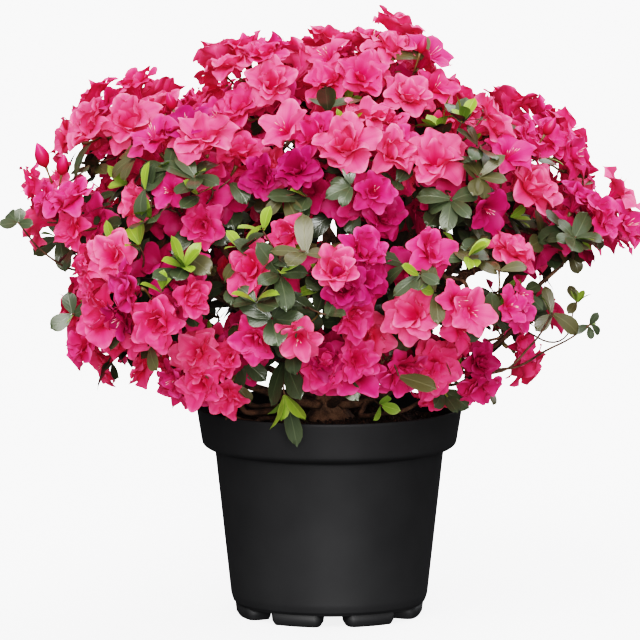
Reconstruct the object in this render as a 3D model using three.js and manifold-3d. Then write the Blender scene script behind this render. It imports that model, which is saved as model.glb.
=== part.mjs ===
// An azalea in full bloom in a round nursery pot, in millimetres with +Z up.
// The pot stands on z = 0 round the Z axis, and the plant's front looks along -Y.
// Boughs fork from a short stem in the soil, and each one ends inside the mass of foliage it carries.
import * as THREE from "three";
import { mergeVertices } from "three/addons/utils/BufferGeometryUtils.js";
import Module from "manifold-3d";

const wasm = await Module();
wasm.setup();

// ---- driving dimensions -------------------------------------------------------------------

const GAP = 0.3; // air between two solids that touch in the real plant
const AROUND = 24; // flats round the pot and the soil

// Pot: a thin moulded wall that tapers down from a deep rim band to a low foot ring.
const POT_HEIGHT = 150.5;
const WALL = 1.8;
const LIP_R = 95;
const BAND_FOOT_R = 91.5;
const BAND_FOOT_Z = 126;
const BAND_ROUND = 3.4; // height over which the band's foot rounds in
const SHOULDER_R = 81.7;
const SHOULDER_Z = 117.5;
const SHELF_OUT = 5.2; // the underside of the shoulder, before the band's foot
const SHELF_RISE = 1.8;
const SKIRT_R = 70.5;
const SKIRT_Z = 15.7;
const LEDGE_R = 67.6;
const LEDGE_Z = 10;
const FOOT_R = 64.5;
const FOOT_BEVEL = 3;
const FOOT_THICK = 2;
const FLOOR_Z = 8.2; // underside of the raised floor, clear of the surface the pot stands on
const NOTCHES = 7;
const NOTCH_TALL = 7.8;
const NOTCH_WIDE = 31; // at the outside of the foot ring
const NOTCH_NARROW = 14; // where the water channel starts inside it
const NOTCH_IN_R = 50;
const NOTCH_TURN = 3; // degrees that the first notch stands to the right of the front

// Soil: fills the pot to a little under its lip, with a low flat mound round the stem.
const SOIL_EDGE_Z = 138;
const SOIL_TOP_Z = 141;
const MOUND_R = 30;

// Stem: the short woody stock that all the boughs leave.
const STEM_FOOT_R = 17;
const STEM_R = 12;
const STEM_TOP_R = 8;
const STEM_TALL = 28;
const STEM_SIDES = 12;

// Crown: its masses face out from this point, and none reaches below the pot's lip.
const CROWN_HEART = new THREE.Vector3(0, 0, 225);
const CROWN_FLOOR_Z = 153;
const FACE_UP = 1.15; // how much more a mass faces up or down than straight from the heart
const MASS_DETAIL = 2; // icosahedron subdivision
const MASS_GAP = 3; // least air between two neighbouring masses
const LUMP = 0.12; // how far the surface of a mass swells and sinks, as a share of its radius
const CRUSH = 9; // how sharply a mass flattens where it meets a neighbour

// Boughs
const BOUGH_SIDES = 6;
const BOUGH_STEPS = 5;
const SINK = 0.45; // how deep a bough goes into its mass, as a share of the mass's half thickness
const BOW_AT = 0.45; // where a main bough bows most, and how far out and down it bows there
const BOW_OUT = 14;
const BOW_DOWN = 10;
const KEEP_ON = 0.3; // how far a side bough keeps its parent's direction, as a share of its reach
const TURN_TO = 0.4; // and how far its bend then leans to the straight way

// Masses of foliage: [name, x, y, z, half width round the crown, half height up the crown,
// half thickness]. The tiers run from the top of the crown to the skirt over the pot's lip.
const MASSES = [
  ["top_right", 44, -10, 384, 54, 60, 44],
  ["top_left", -60, 6, 370, 60, 58, 42],
  ["top_back", -2, 78, 368, 60, 56, 42],

  ["upper_front", 10, -112, 336, 64, 52, 37],
  ["upper_front_left", -106, -92, 326, 60, 54, 36],
  ["upper_left", -150, 20, 342, 62, 54, 38],
  ["upper_back_left", -92, 124, 318, 62, 54, 36],
  ["upper_back_right", 88, 120, 324, 62, 54, 36],
  ["upper_right", 150, 22, 328, 60, 50, 40],
  ["upper_front_right", 108, -90, 330, 60, 52, 36],

  ["tip_left", -192, -30, 294, 50, 36, 32],
  ["middle_front_left", -132, -124, 252, 58, 50, 32],
  ["middle_front", -20, -170, 256, 60, 50, 32],
  ["middle_front_right", 92, -148, 256, 60, 48, 32],
  ["tip_right", 188, -44, 284, 52, 30, 35],
  ["middle_right_back", 152, 92, 262, 54, 46, 32],
  ["middle_back", 62, 164, 250, 62, 50, 32],
  ["middle_back_left", -50, 168, 248, 60, 50, 32],
  ["middle_left_back", -154, 96, 252, 58, 50, 32],

  ["skirt_left", -162, -20, 212, 52, 38, 30],
  ["skirt_front_left", -94, -98, 190, 52, 37, 28],
  ["skirt_front", 16, -128, 192, 54, 36, 28],
  ["skirt_front_right", 92, -82, 190, 50, 36, 28],
  ["skirt_right", 134, 20, 212, 54, 38, 28],
  ["skirt_back_right", 56, 122, 190, 58, 38, 28],
  ["skirt_back_left", -78, 108, 192, 58, 38, 28],
];

// Boughs: [mass it carries, what it leaves, how far up that, radius where it leaves, at its tip].
// Those of the stem are the main ones, and "how far up" is then a height on the stem.
const BOUGHS = [
  ["top_right", "stem", 0.95, 4.2, 2.2],
  ["top_left", "top_right", 0.3, 3.2, 2],
  ["top_back", "stem", 0.9, 4.2, 2.2],
  ["upper_front", "stem", 0.72, 3.8, 2],
  ["upper_front_left", "stem", 0.66, 3.8, 2],
  ["upper_left", "stem", 0.74, 3.8, 2],
  ["upper_back_left", "stem", 0.66, 3.8, 2],
  ["upper_back_right", "stem", 0.72, 3.8, 2],
  ["upper_right", "stem", 0.66, 3.8, 2],
  ["upper_front_right", "stem", 0.78, 3.8, 2],

  ["tip_left", "upper_left", 0.42, 2.8, 1.6],
  ["middle_front_left", "upper_front_left", 0.42, 2.8, 1.6],
  ["middle_front", "upper_front", 0.42, 2.8, 1.6],
  ["middle_front_right", "upper_front_right", 0.42, 2.8, 1.6],
  ["tip_right", "upper_right", 0.46, 2.8, 1.6],
  ["middle_right_back", "upper_right", 0.3, 2.8, 1.6],
  ["middle_back", "upper_back_right", 0.42, 2.8, 1.6],
  ["middle_back_left", "upper_back_left", 0.42, 2.8, 1.6],
  ["middle_left_back", "upper_left", 0.28, 2.8, 1.6],

  ["skirt_left", "stem", 0.3, 3.6, 1.9],
  ["skirt_front_left", "stem", 0.34, 3.2, 1.8],
  ["skirt_front", "stem", 0.36, 3.2, 1.8],
  ["skirt_front_right", "stem", 0.32, 3.2, 1.8],
  ["skirt_right", "stem", 0.3, 3.6, 1.9],
  ["skirt_back_right", "stem", 0.34, 3.2, 1.8],
  ["skirt_back_left", "stem", 0.32, 3.2, 1.8],
];

// ---- finishes -----------------------------------------------------------------------------

const POT_FINISH = new THREE.MeshStandardMaterial({ color: 0x1c1c1d, roughness: 0.5, metalness: 0 });
const SOIL_FINISH = new THREE.MeshStandardMaterial({ color: 0x2a1b12, roughness: 0.95, metalness: 0 });
const BARK_FINISH = new THREE.MeshStandardMaterial({ color: 0x5a4030, roughness: 0.85, metalness: 0 });
const BLOOM_FINISH = new THREE.MeshStandardMaterial({ color: 0xe64a86, roughness: 0.6, metalness: 0 });

// ---- closed meshes and booleans -----------------------------------------------------------

// A closed geometry as a solid: positions merged, flat triangles dropped.
function solid(geometry) {
  const bare = geometry.clone();
  bare.deleteAttribute("normal");
  bare.deleteAttribute("uv");
  const merged = mergeVertices(bare, 1e-4);
  const corners = merged.index.array;
  const faces = [];
  for (let i = 0; i < corners.length; i += 3) {
    const [a, b, c] = [corners[i], corners[i + 1], corners[i + 2]];
    if (a !== b && b !== c && c !== a) faces.push(a, b, c);
  }
  return new wasm.Manifold(new wasm.Mesh({
    numProp: 3,
    vertProperties: new Float32Array(merged.attributes.position.array),
    triVerts: new Uint32Array(faces),
  }));
}

// A solid back as a geometry with flat faces.
function geometryOf(body) {
  const mesh = body.getMesh();
  const geometry = new THREE.BufferGeometry();
  const places = new Float32Array(mesh.numVert * 3);
  for (let i = 0; i < mesh.numVert; i += 1) {
    for (let k = 0; k < 3; k += 1) places[i * 3 + k] = mesh.vertProperties[i * mesh.numProp + k];
  }
  geometry.setAttribute("position", new THREE.BufferAttribute(places, 3));
  geometry.setIndex(new THREE.BufferAttribute(new Uint32Array(mesh.triVerts), 1));
  geometry.computeVertexNormals();
  return geometry;
}

// The largest closed body of a solid, without the slivers that a cut can leave.
function largest(body) {
  const pieces = body.decompose();
  return pieces.reduce((best, piece) => (piece.volume() > best.volume() ? piece : best));
}

// A profile of [radius, height] points turned round the Z axis, from the axis back to the axis.
function turned(profile, sides = AROUND) {
  const points = profile.map(([r, z]) => new THREE.Vector2(r, z));
  return new THREE.LatheGeometry(points, sides).rotateX(Math.PI / 2);
}

// ---- pot and soil -------------------------------------------------------------------------

// Points inside the pot, from its lip down to the middle of its floor, set in by `inset`.
function insideOfPot(inset, top) {
  const slope = (LIP_R - BAND_FOOT_R) / (POT_HEIGHT - BAND_FOOT_Z);
  return [
    [LIP_R - (POT_HEIGHT - top) * slope - inset, top],
    [BAND_FOOT_R - inset, BAND_FOOT_Z],
    [BAND_FOOT_R - SHELF_RISE - inset, BAND_FOOT_Z - BAND_ROUND],
    [SHOULDER_R - inset, SHOULDER_Z],
    [SKIRT_R - inset, SKIRT_Z],
    [LEDGE_R - inset, FLOOR_Z + inset],
  ];
}

// A wedge along one water channel, from inside the foot ring out to radius `outR`, grown
// sideways by `more`, between two heights: it is the channel, or with its cheeks round it.
function channel(outR, more, lowZ, highZ, turn) {
  const flare = (NOTCH_WIDE - NOTCH_NARROW) / (LEDGE_R - NOTCH_IN_R) / 2;
  const inner = NOTCH_NARROW / 2 + more;
  const outer = inner + (outR - NOTCH_IN_R) * flare;
  const outline = new THREE.Shape();
  outline.moveTo(NOTCH_IN_R, -inner);
  outline.lineTo(outR, -outer);
  outline.lineTo(outR, outer);
  outline.lineTo(NOTCH_IN_R, inner);
  outline.closePath();
  const wedge = new THREE.ExtrudeGeometry(outline, { depth: highZ - lowZ, bevelEnabled: false });
  return solid(wedge.translate(0, 0, lowZ).rotateZ(turn));
}

function potGeometry() {
  const outside = [
    [0, FLOOR_Z],
    [FOOT_R - FOOT_THICK, FLOOR_Z],
    [FOOT_R - FOOT_THICK, 0],
    [FOOT_R, 0],
    [(FOOT_R + 2 * LEDGE_R) / 3, FOOT_BEVEL],
    [LEDGE_R, LEDGE_Z],
    [(2 * LEDGE_R + SKIRT_R) / 3, LEDGE_Z + FOOT_BEVEL / 4],
    [SKIRT_R, SKIRT_Z],
    [SHOULDER_R, SHOULDER_Z],
    [SHOULDER_R + SHELF_OUT, SHOULDER_Z + SHELF_RISE],
    [BAND_FOOT_R - SHELF_RISE / 2, BAND_FOOT_Z - BAND_ROUND],
    [BAND_FOOT_R, BAND_FOOT_Z],
    [LIP_R, POT_HEIGHT - WALL],
    [LIP_R, POT_HEIGHT],
  ];
  let body = solid(turned([...outside, ...insideOfPot(WALL, POT_HEIGHT), [0, FLOOR_Z + WALL]]));
  for (let i = 0; i < NOTCHES; i += 1) {
    const turn = THREE.MathUtils.degToRad((i / NOTCHES) * 360 - 90 + NOTCH_TURN);
    body = body.add(channel(FOOT_R - FOOT_THICK / 4, WALL, 0, FLOOR_Z + WALL / 2, turn));
    body = body.subtract(channel(LIP_R, 0, -1, NOTCH_TALL, turn));
  }
  return geometryOf(body);
}

function soilGeometry() {
  const side = insideOfPot(WALL + GAP, SOIL_EDGE_Z).reverse();
  return geometryOf(solid(turned([
    [0, FLOOR_Z + WALL + GAP],
    ...side,
    [(LIP_R + MOUND_R) / 2, (2 * SOIL_TOP_Z + SOIL_EDGE_Z) / 3],
    [MOUND_R, SOIL_TOP_Z],
    [0, SOIL_TOP_Z],
  ])));
}

// ---- stem and boughs ----------------------------------------------------------------------

const STEM_FOOT_Z = SOIL_TOP_Z + GAP;

// The stock with its root flare, grown all round by `more`.
function stemSolid(more = 0) {
  return solid(turned([
    [0, STEM_FOOT_Z],
    [STEM_FOOT_R + more, STEM_FOOT_Z],
    [(STEM_FOOT_R + 3 * STEM_R) / 4 + more, STEM_FOOT_Z + STEM_TALL / 5],
    [STEM_R + more, STEM_FOOT_Z + STEM_TALL / 2],
    [STEM_TOP_R + more, STEM_FOOT_Z + STEM_TALL * 0.9 + more],
    [0, STEM_FOOT_Z + STEM_TALL + more],
  ], STEM_SIDES));
}

// A tapering limb: a cylinder whose rings are carried along a curve, grown all round by `more`.
function limb(curve, rootR, tipR, more = 0) {
  const tube = new THREE.CylinderGeometry(tipR + more, rootR + more, 1, BOUGH_SIDES, BOUGH_STEPS);
  const frames = curve.computeFrenetFrames(BOUGH_STEPS, false);
  const places = tube.attributes.position;
  for (let i = 0; i < places.count; i += 1) {
    const along = places.getY(i) + 0.5;
    const ring = Math.round(along * BOUGH_STEPS);
    const centre = curve.getPointAt(along);
    centre.addScaledVector(frames.normals[ring], places.getX(i));
    centre.addScaledVector(frames.binormals[ring], -places.getZ(i));
    centre.addScaledVector(frames.tangents[ring], ring === BOUGH_STEPS ? more : 0);
    places.setXYZ(i, centre.x, centre.y, centre.z);
  }
  return solid(tube);
}

// ---- masses of foliage --------------------------------------------------------------------

const massByName = {};
for (const [name, x, y, z, wide, high, thick] of MASSES) {
  const middle = new THREE.Vector3(x, y, z);
  const out = middle.clone().sub(CROWN_HEART);
  out.z *= FACE_UP;
  out.normalize();
  const round = new THREE.Vector3(-y, x, 0).normalize();
  const up = new THREE.Vector3().crossVectors(out, round).normalize();
  round.crossVectors(up, out).normalize();
  massByName[name] = { middle, out, round, up, half: [wide, high, thick] };
}

// How far the plain ellipsoid of a mass reaches from its middle towards a unit direction.
function reach(mass, way) {
  const [wide, high, thick] = mass.half;
  return 1 / Math.hypot(way.dot(mass.round) / wide, way.dot(mass.up) / high, way.dot(mass.out) / thick);
}

// Flat limits that a mass may not cross: one towards each neighbour it would run into, and the
// level of the crown's floor. Each is a unit normal and the distance from the mass's middle.
function limitsOf(mass) {
  const limits = [];
  for (const other of Object.values(massByName)) {
    if (other === mass) continue;
    const towards = other.middle.clone().sub(mass.middle);
    const apart = towards.length();
    towards.normalize();
    const mine = reach(mass, towards);
    const theirs = reach(other, towards);
    limits.push({ normal: towards, far: (apart * mine) / (mine + theirs) - MASS_GAP / 2 });
  }
  const down = new THREE.Vector3(0, 0, -1);
  limits.push({ normal: down, far: mass.middle.z - CROWN_FLOOR_Z });
  return limits;
}

// How far a mass swells (above 0) or sinks towards a unit direction: three crossed waves.
function swell(way, seed) {
  const across = Math.sin(3.1 * way.x + 1.7 * seed) * Math.cos(2.7 * way.y - 0.9 * seed);
  return across + 0.6 * Math.sin(4.3 * way.z + 2.3 * seed + 2.1 * way.x);
}

// A lumpy ellipsoid that flattens softly against its limits.
function massSolid(mass, seed) {
  const ball = new THREE.IcosahedronGeometry(1, MASS_DETAIL);
  const places = ball.attributes.position;
  const limits = limitsOf(mass);
  const way = new THREE.Vector3();
  for (let i = 0; i < places.count; i += 1) {
    way.fromBufferAttribute(places, i).normalize();
    let sum = (reach(mass, way) * (1 + LUMP * swell(way, seed))) ** -CRUSH;
    for (const { normal, far } of limits) sum += (Math.max(way.dot(normal), 0) / far) ** CRUSH;
    way.multiplyScalar(sum ** (-1 / CRUSH)).add(mass.middle);
    places.setXYZ(i, way.x, way.y, way.z);
  }
  return solid(ball);
}

// ---- the plant ----------------------------------------------------------------------------

const plant = new THREE.Group();

function add(name, geometry, finish) {
  const mesh = new THREE.Mesh(geometry, finish);
  mesh.name = name;
  plant.add(mesh);
}

add("pot", potGeometry(), POT_FINISH);
add("soil", soilGeometry(), SOIL_FINISH);
add("stem", geometryOf(stemSolid()), BARK_FINISH);

// Each bough's line: out of its parent, bending up and out to the inner side of its mass.
const curves = {};
const grownBoughs = {};
for (const [name, parent, fork, rootR, tipR] of BOUGHS) {
  const mass = massByName[name];
  const end = mass.middle.clone().addScaledVector(mass.out, -mass.half[2] * (1 - SINK));
  let start;
  let bend;
  if (parent === "stem") {
    start = new THREE.Vector3(0, 0, STEM_FOOT_Z + fork * STEM_TALL);
    const flat = new THREE.Vector3(end.x, end.y, 0).normalize();
    start.addScaledVector(flat, (STEM_TOP_R / 2) * (1 - fork));
    bend = start.clone().lerp(end, BOW_AT).addScaledVector(flat, BOW_OUT);
    bend.z -= BOW_DOWN;
  } else {
    start = curves[parent].getPointAt(fork);
    const onward = curves[parent].getTangentAt(fork).multiplyScalar(start.distanceTo(end) * KEEP_ON);
    bend = start.clone().add(onward).lerp(start.clone().lerp(end, 0.5), TURN_TO);
  }
  curves[name] = new THREE.QuadraticBezierCurve3(start, bend, end);
  let body = limb(curves[name], rootR, tipR).subtract(stemSolid(GAP));
  for (const other of Object.values(grownBoughs)) body = body.subtract(other);
  grownBoughs[name] = limb(curves[name], rootR, tipR, GAP);
  add(`bough_${name}`, geometryOf(largest(body)), BARK_FINISH);
}

MASSES.forEach(([name], index) => {
  let body = massSolid(massByName[name], index + 1);
  for (const bough of Object.values(grownBoughs)) body = body.subtract(bough);
  add(`mass_${name}`, geometryOf(largest(body)), BLOOM_FINISH);
});

export default plant;
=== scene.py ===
import math

import bpy
import numpy as np
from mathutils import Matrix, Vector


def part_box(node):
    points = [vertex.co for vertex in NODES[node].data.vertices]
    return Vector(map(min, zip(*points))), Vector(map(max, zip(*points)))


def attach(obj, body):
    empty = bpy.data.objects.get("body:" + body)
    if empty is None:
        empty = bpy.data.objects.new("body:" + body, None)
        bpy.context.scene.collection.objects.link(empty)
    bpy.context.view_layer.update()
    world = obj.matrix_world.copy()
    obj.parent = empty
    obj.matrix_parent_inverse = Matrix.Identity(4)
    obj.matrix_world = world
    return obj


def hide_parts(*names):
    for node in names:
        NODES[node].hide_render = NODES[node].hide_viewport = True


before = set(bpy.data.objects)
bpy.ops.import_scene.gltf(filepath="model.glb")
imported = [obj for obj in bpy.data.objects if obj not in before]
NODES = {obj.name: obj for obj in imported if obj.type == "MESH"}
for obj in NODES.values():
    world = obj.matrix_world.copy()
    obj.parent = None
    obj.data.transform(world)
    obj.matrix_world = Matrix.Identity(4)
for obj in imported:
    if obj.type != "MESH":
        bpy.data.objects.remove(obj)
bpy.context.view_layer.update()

MM = 0.001
MASSES = sorted(name[5:] for name in NODES if name.startswith("mass_"))
HEART = np.array([0, 0, 225]) * MM  # the crown faces out from this point
UP = np.array([0.0, 0.0, 1.0])
TAU = 2 * math.pi
LOOK_DOWN = math.radians(7.3)  # the front view looks down by this angle


# ---- numbers and vectors --------------------------------------------------------------------


def dice(*labels):
    """A random generator of its own for each use, seeded by the words that name it."""
    return np.random.default_rng([ord(letter) for label in labels for letter in str(label)])


def unit(vectors):
    """Vectors of length 1 along the given ones."""
    return vectors / np.maximum(np.linalg.norm(vectors, axis=-1, keepdims=True), 1e-9)


def ease(x):
    """0 below 0, 1 above 1 and a smooth 3x^2 - 2x^3 between."""
    x = np.clip(x, 0, 1)
    return x * x * (3 - 2 * x)


def axes_on(axis, roll):
    """For each axis, three crossed unit vectors as rows, the last along it, turned by roll."""
    axis = unit(axis)
    hint = np.where(np.abs(axis[:, 2:]) < 0.9, UP, np.array([1.0, 0, 0]))
    side = unit(np.cross(hint, axis))
    other = np.cross(axis, side)
    c, s = np.cos(roll)[:, None], np.sin(roll)[:, None]
    return np.stack([side * c + other * s, other * c - side * s, axis], axis=1)


def placed(local, axes, origin):
    """Grids of local points, one for each placement, turned onto its axes and moved there."""
    return np.einsum("nrck,nkj->nrcj", local, axes) + origin[:, None, None, :]


# ---- meshes ---------------------------------------------------------------------------------

TILE = 0.38  # each repeated shape uses this share of the pattern's width and height


def grid_faces(rows, cols, wrap=False):
    """The corner numbers of the faces between rows x cols points; wrap closes each row."""
    row, col = np.meshgrid(np.arange(rows - 1), np.arange(cols if wrap else cols - 1), indexing="ij")
    after = (col + 1) % cols
    corners = [row * cols + col, row * cols + after, (row + 1) * cols + after, (row + 1) * cols + col]
    return np.stack(corners, axis=-1).reshape(-1, 4)


def grid_uv(rows, cols, wrap=False):
    """For each face corner of such a grid, how far across and along it lies, in the tile."""
    row, col = np.meshgrid(np.arange(rows - 1), np.arange(cols if wrap else cols - 1), indexing="ij")
    wide = cols if wrap else cols - 1
    across = np.stack([col, col + 1, col + 1, col], axis=-1) / wide
    along = np.stack([row, row, row + 1, row + 1], axis=-1) / (rows - 1)
    return (0.02 + TILE * np.stack([across, along], axis=-1)).reshape(-1, 4, 2)


def sheets(points, flip=False):
    """Open grids of points, shape (copies, rows, cols, 3), as one part of a mesh."""
    copies, rows, cols = points.shape[:3]
    faces, uv = grid_faces(rows, cols), grid_uv(rows, cols)
    if flip:
        faces, uv = faces[:, ::-1], uv[:, ::-1]
    shift = np.arange(copies)[:, None, None] * rows * cols
    return points.reshape(-1, 3), [((faces + shift).reshape(-1, 4), np.tile(uv, (copies, 1, 1)))]


def tubes(points):
    """Grids whose rows are closed rings, with a flat cap on each end, as one part of a mesh."""
    copies, rows, cols = points.shape[:3]
    shift = np.arange(copies)[:, None, None] * rows * cols
    sides = (grid_faces(rows, cols, True) + shift).reshape(-1, 4)
    ends = np.stack([np.arange(cols)[::-1], np.arange(cols) + (rows - 1) * cols])
    caps = (ends + shift).reshape(-1, cols)
    flat = np.full((2, cols, 2), 0.02)
    flat[1, :, 1] += TILE
    uv = np.tile(grid_uv(rows, cols, True), (copies, 1, 1))
    return points.reshape(-1, 3), [(sides, uv), (caps, np.tile(flat, (copies, 1, 1)))]


def piece(name, parts, material, smooth=True):
    """One mesh object made of parts, riding on the plant, with a pattern map of its own."""
    starts = np.cumsum([0] + [len(points) for points, _ in parts])
    blocks = [(faces + start, uv) for (_, groups), start in zip(parts, starts) for faces, uv in groups]
    sizes = np.concatenate([np.full(len(faces), faces.shape[1]) for faces, _ in blocks])
    corners = np.concatenate([faces.ravel() for faces, _ in blocks])
    pattern = np.concatenate([uv.reshape(-1, 2) for _, uv in blocks])
    points = np.concatenate([points for points, _ in parts])
    mesh = bpy.data.meshes.new(name)
    mesh.vertices.add(len(points))
    mesh.vertices.foreach_set("co", points.astype(np.float32).ravel())
    mesh.loops.add(len(corners))
    mesh.loops.foreach_set("vertex_index", corners.astype(np.int32))
    mesh.polygons.add(len(sizes))
    mesh.polygons.foreach_set("loop_start", (np.cumsum(sizes) - sizes).astype(np.int32))
    mesh.polygons.foreach_set("loop_total", sizes.astype(np.int32))
    mesh.uv_layers.new(name="OFBake").data.foreach_set("uv", pattern.astype(np.float32).ravel())
    mesh.polygons.foreach_set("use_smooth", np.full(len(sizes), smooth))
    mesh.update(calc_edges=True)
    mesh.validate()
    mesh.materials.append(material)
    made = bpy.data.objects.new(name, mesh)
    bpy.context.scene.collection.objects.link(made)
    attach(made, "root")
    return made


def ring_tubes(lines, radii, sides, relief=None):
    """Round tubes carried along lines: at each point a ring of `sides` corners whose radius is
    the line's own there, times 1 plus the relief."""
    tangents = unit(np.gradient(lines, axis=1))
    chord = unit(lines[:, -1] - lines[:, 0])
    hint = np.where(np.abs(chord[:, 2:]) < 0.8, UP, np.array([1.0, 0, 0]))[:, None, :]
    side = unit(np.cross(hint, tangents))
    other = np.cross(tangents, side)
    turn = np.arange(sides) / sides * TAU
    ring = side[:, :, None] * np.cos(turn)[:, None] + other[:, :, None] * np.sin(turn)[:, None]
    reach = radii[:, :, None] * (1 if relief is None else 1 + relief)
    return lines[:, :, None] + ring * reach[..., None]


# ---- the frame's limbs and masses -----------------------------------------------------------


def node_points(node):
    """The corners of a CAD node's triangles, shape (triangles, 3, 3)."""
    mesh = NODES[node].data
    points = np.empty(len(mesh.vertices) * 3)
    mesh.vertices.foreach_get("co", points)
    corners = np.empty(len(mesh.loops), np.int32)
    mesh.loops.foreach_get("vertex_index", corners)
    return points.reshape(-1, 3)[corners].reshape(-1, 3, 3)


RING_GAP = 5 * MM  # two rings of a CAD bough lie further apart than this


def limb_line(name, steps):
    """The centre line of a CAD bough and its radius, root first.

    Its corners, sorted from root to tip, fall into rings. The line is the cubic that passes
    nearest to the rings' middles, and the radius a straight taper through their reach.
    """
    corners = np.unique(node_points("bough_" + name).reshape(-1, 3).round(6), axis=0)
    goal = node_points("mass_" + name).reshape(-1, 3).mean(axis=0)
    far = corners @ unit(goal - corners.mean(axis=0))
    corners, far = corners[np.argsort(far)], np.sort(far)
    rings = np.split(corners, np.flatnonzero(np.diff(far) > RING_GAP) + 1)
    middles = np.array([ring.mean(axis=0) for ring in rings])
    reach = np.array([np.linalg.norm(r - m, axis=1).mean() for r, m in zip(rings, middles)])
    run = np.concatenate([[0], np.cumsum(np.linalg.norm(np.diff(middles, axis=0), axis=1))])
    t = np.linspace(0, 1, steps)
    fit = np.polyfit(run / run[-1], middles, 3)
    line = sum(fit[k] * t[:, None] ** (3 - k) for k in range(4))
    slope, start = np.polyfit((run / run[-1])[1:], reach[1:], 1)
    return line, start + slope * t


def outer_skin():
    """Points spread at random over the outward side of all the masses, with the way out there,
    and the number of each point's mass. Every triangle gets points by its area."""
    places, ways, owners = [], [], []
    for number, name in enumerate(MASSES):
        corners = node_points("mass_" + name)
        across = np.cross(corners[:, 1] - corners[:, 0], corners[:, 2] - corners[:, 0])
        area = np.linalg.norm(across, axis=1) / 2
        roll = dice("skin", name)
        chosen = roll.choice(len(corners), SKIN_POINTS, p=area / area.sum())
        weights = roll.dirichlet((1, 1, 1), SKIN_POINTS)
        spots = np.einsum("nk,nkj->nj", weights, corners[chosen])
        radial = unit(spots - HEART)
        facing = np.einsum("nk,nk->n", unit(across[chosen]), radial)
        kept = facing > FACING
        places.append(spots[kept])
        ways.append(unit(unit(across[chosen]) * 0.6 + radial * 0.8)[kept])
        owners.append(np.full(kept.sum(), number))
    return np.concatenate(places), np.concatenate(ways), np.concatenate(owners)


def spread_out(spots, gaps, taken, order):
    """The numbers of spots that keep their own gap from each other and from those taken."""
    kept = []
    chosen = np.empty((0, 3))
    for i in order:
        if len(chosen) and np.min(np.linalg.norm(chosen - spots[i], axis=1)) < gaps[i]:
            continue
        if len(taken) and np.min(np.linalg.norm(taken[0] - spots[i], axis=1)) < taken[1]:
            continue
        kept.append(i)
        chosen = np.vstack([chosen, spots[i]])
    return np.array(kept)


# ---- petals, leaves and buds ----------------------------------------------------------------

FINE = 33  # steps in which the middle line of a petal or leaf is added up
PETAL_ROWS = np.array([0, 0.06, 0.22, 0.38, 0.52, 0.66, 0.79, 0.9, 1])
PETAL_COLS = np.linspace(-1, 1, 7)
LEAF_ROWS = np.array([0, 0.12, 0.3, 0.5, 0.68, 0.84, 0.95, 1])
LEAF_COLS = np.linspace(-1, 1, 5)


def blades(rows, cols, total, lean, half, lift, azimuth, foot, fall):
    """Sheets that grow up from the origin round the Z axis and lean away from it.

    The middle line of each adds up steps of its total length, each at the angle from the axis
    that lean gives there. A row runs square to that line, half wide to each side, and near the
    tip its ends fall back towards the foot by `fall`. Lift raises a point off the sheet.
    """
    fine = np.linspace(0, 1, FINE)
    angle = lean(fine)
    step = total[:, None] / (FINE - 1)
    out = foot[:, None] + (np.cumsum(np.sin(angle), axis=1) - np.sin(angle[:, :1])) * step
    high = (np.cumsum(np.cos(angle), axis=1) - np.cos(angle[:, :1])) * step
    place = rows[:, None] * (1 - fall * cols**2 * rows[:, None] ** 2) * (FINE - 1)
    low = np.minimum(place.astype(int), FINE - 2)
    part = place - low
    angle, out, high = (a[:, low] * (1 - part) + a[:, low + 1] * part for a in (angle, out, high))
    out = out - np.cos(angle) * lift
    high = high + np.sin(angle) * lift
    wide = half[:, :, None] * cols
    c, s = np.cos(azimuth)[:, None, None], np.sin(azimuth)[:, None, None]
    return np.stack([out * c - wide * s, out * s + wide * c, high], axis=-1)


TUBE = 11 * MM  # length of a flower's tube, below its spreading petals
TUBE_FOOT = 2 * MM
TUBE_LEAN = math.radians(14)

# Each whorl of a flower: petals, length past the tube, half width, opening from the axis and
# its spread from petal to petal in degrees, cup, ruffle, and turn of the whorl.
OUTER = (5, 20 * MM, 9.2 * MM, 78, 13, -0.02, 2.4 * MM, 0)
INNER = (5, 17.5 * MM, 8.2 * MM, 52, 17, 0.16, 2.5 * MM, TAU / 10)
CENTRE = (5, 13 * MM, 6 * MM, 28, 18, 0.25, 2.2 * MM, 0.4)


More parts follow.
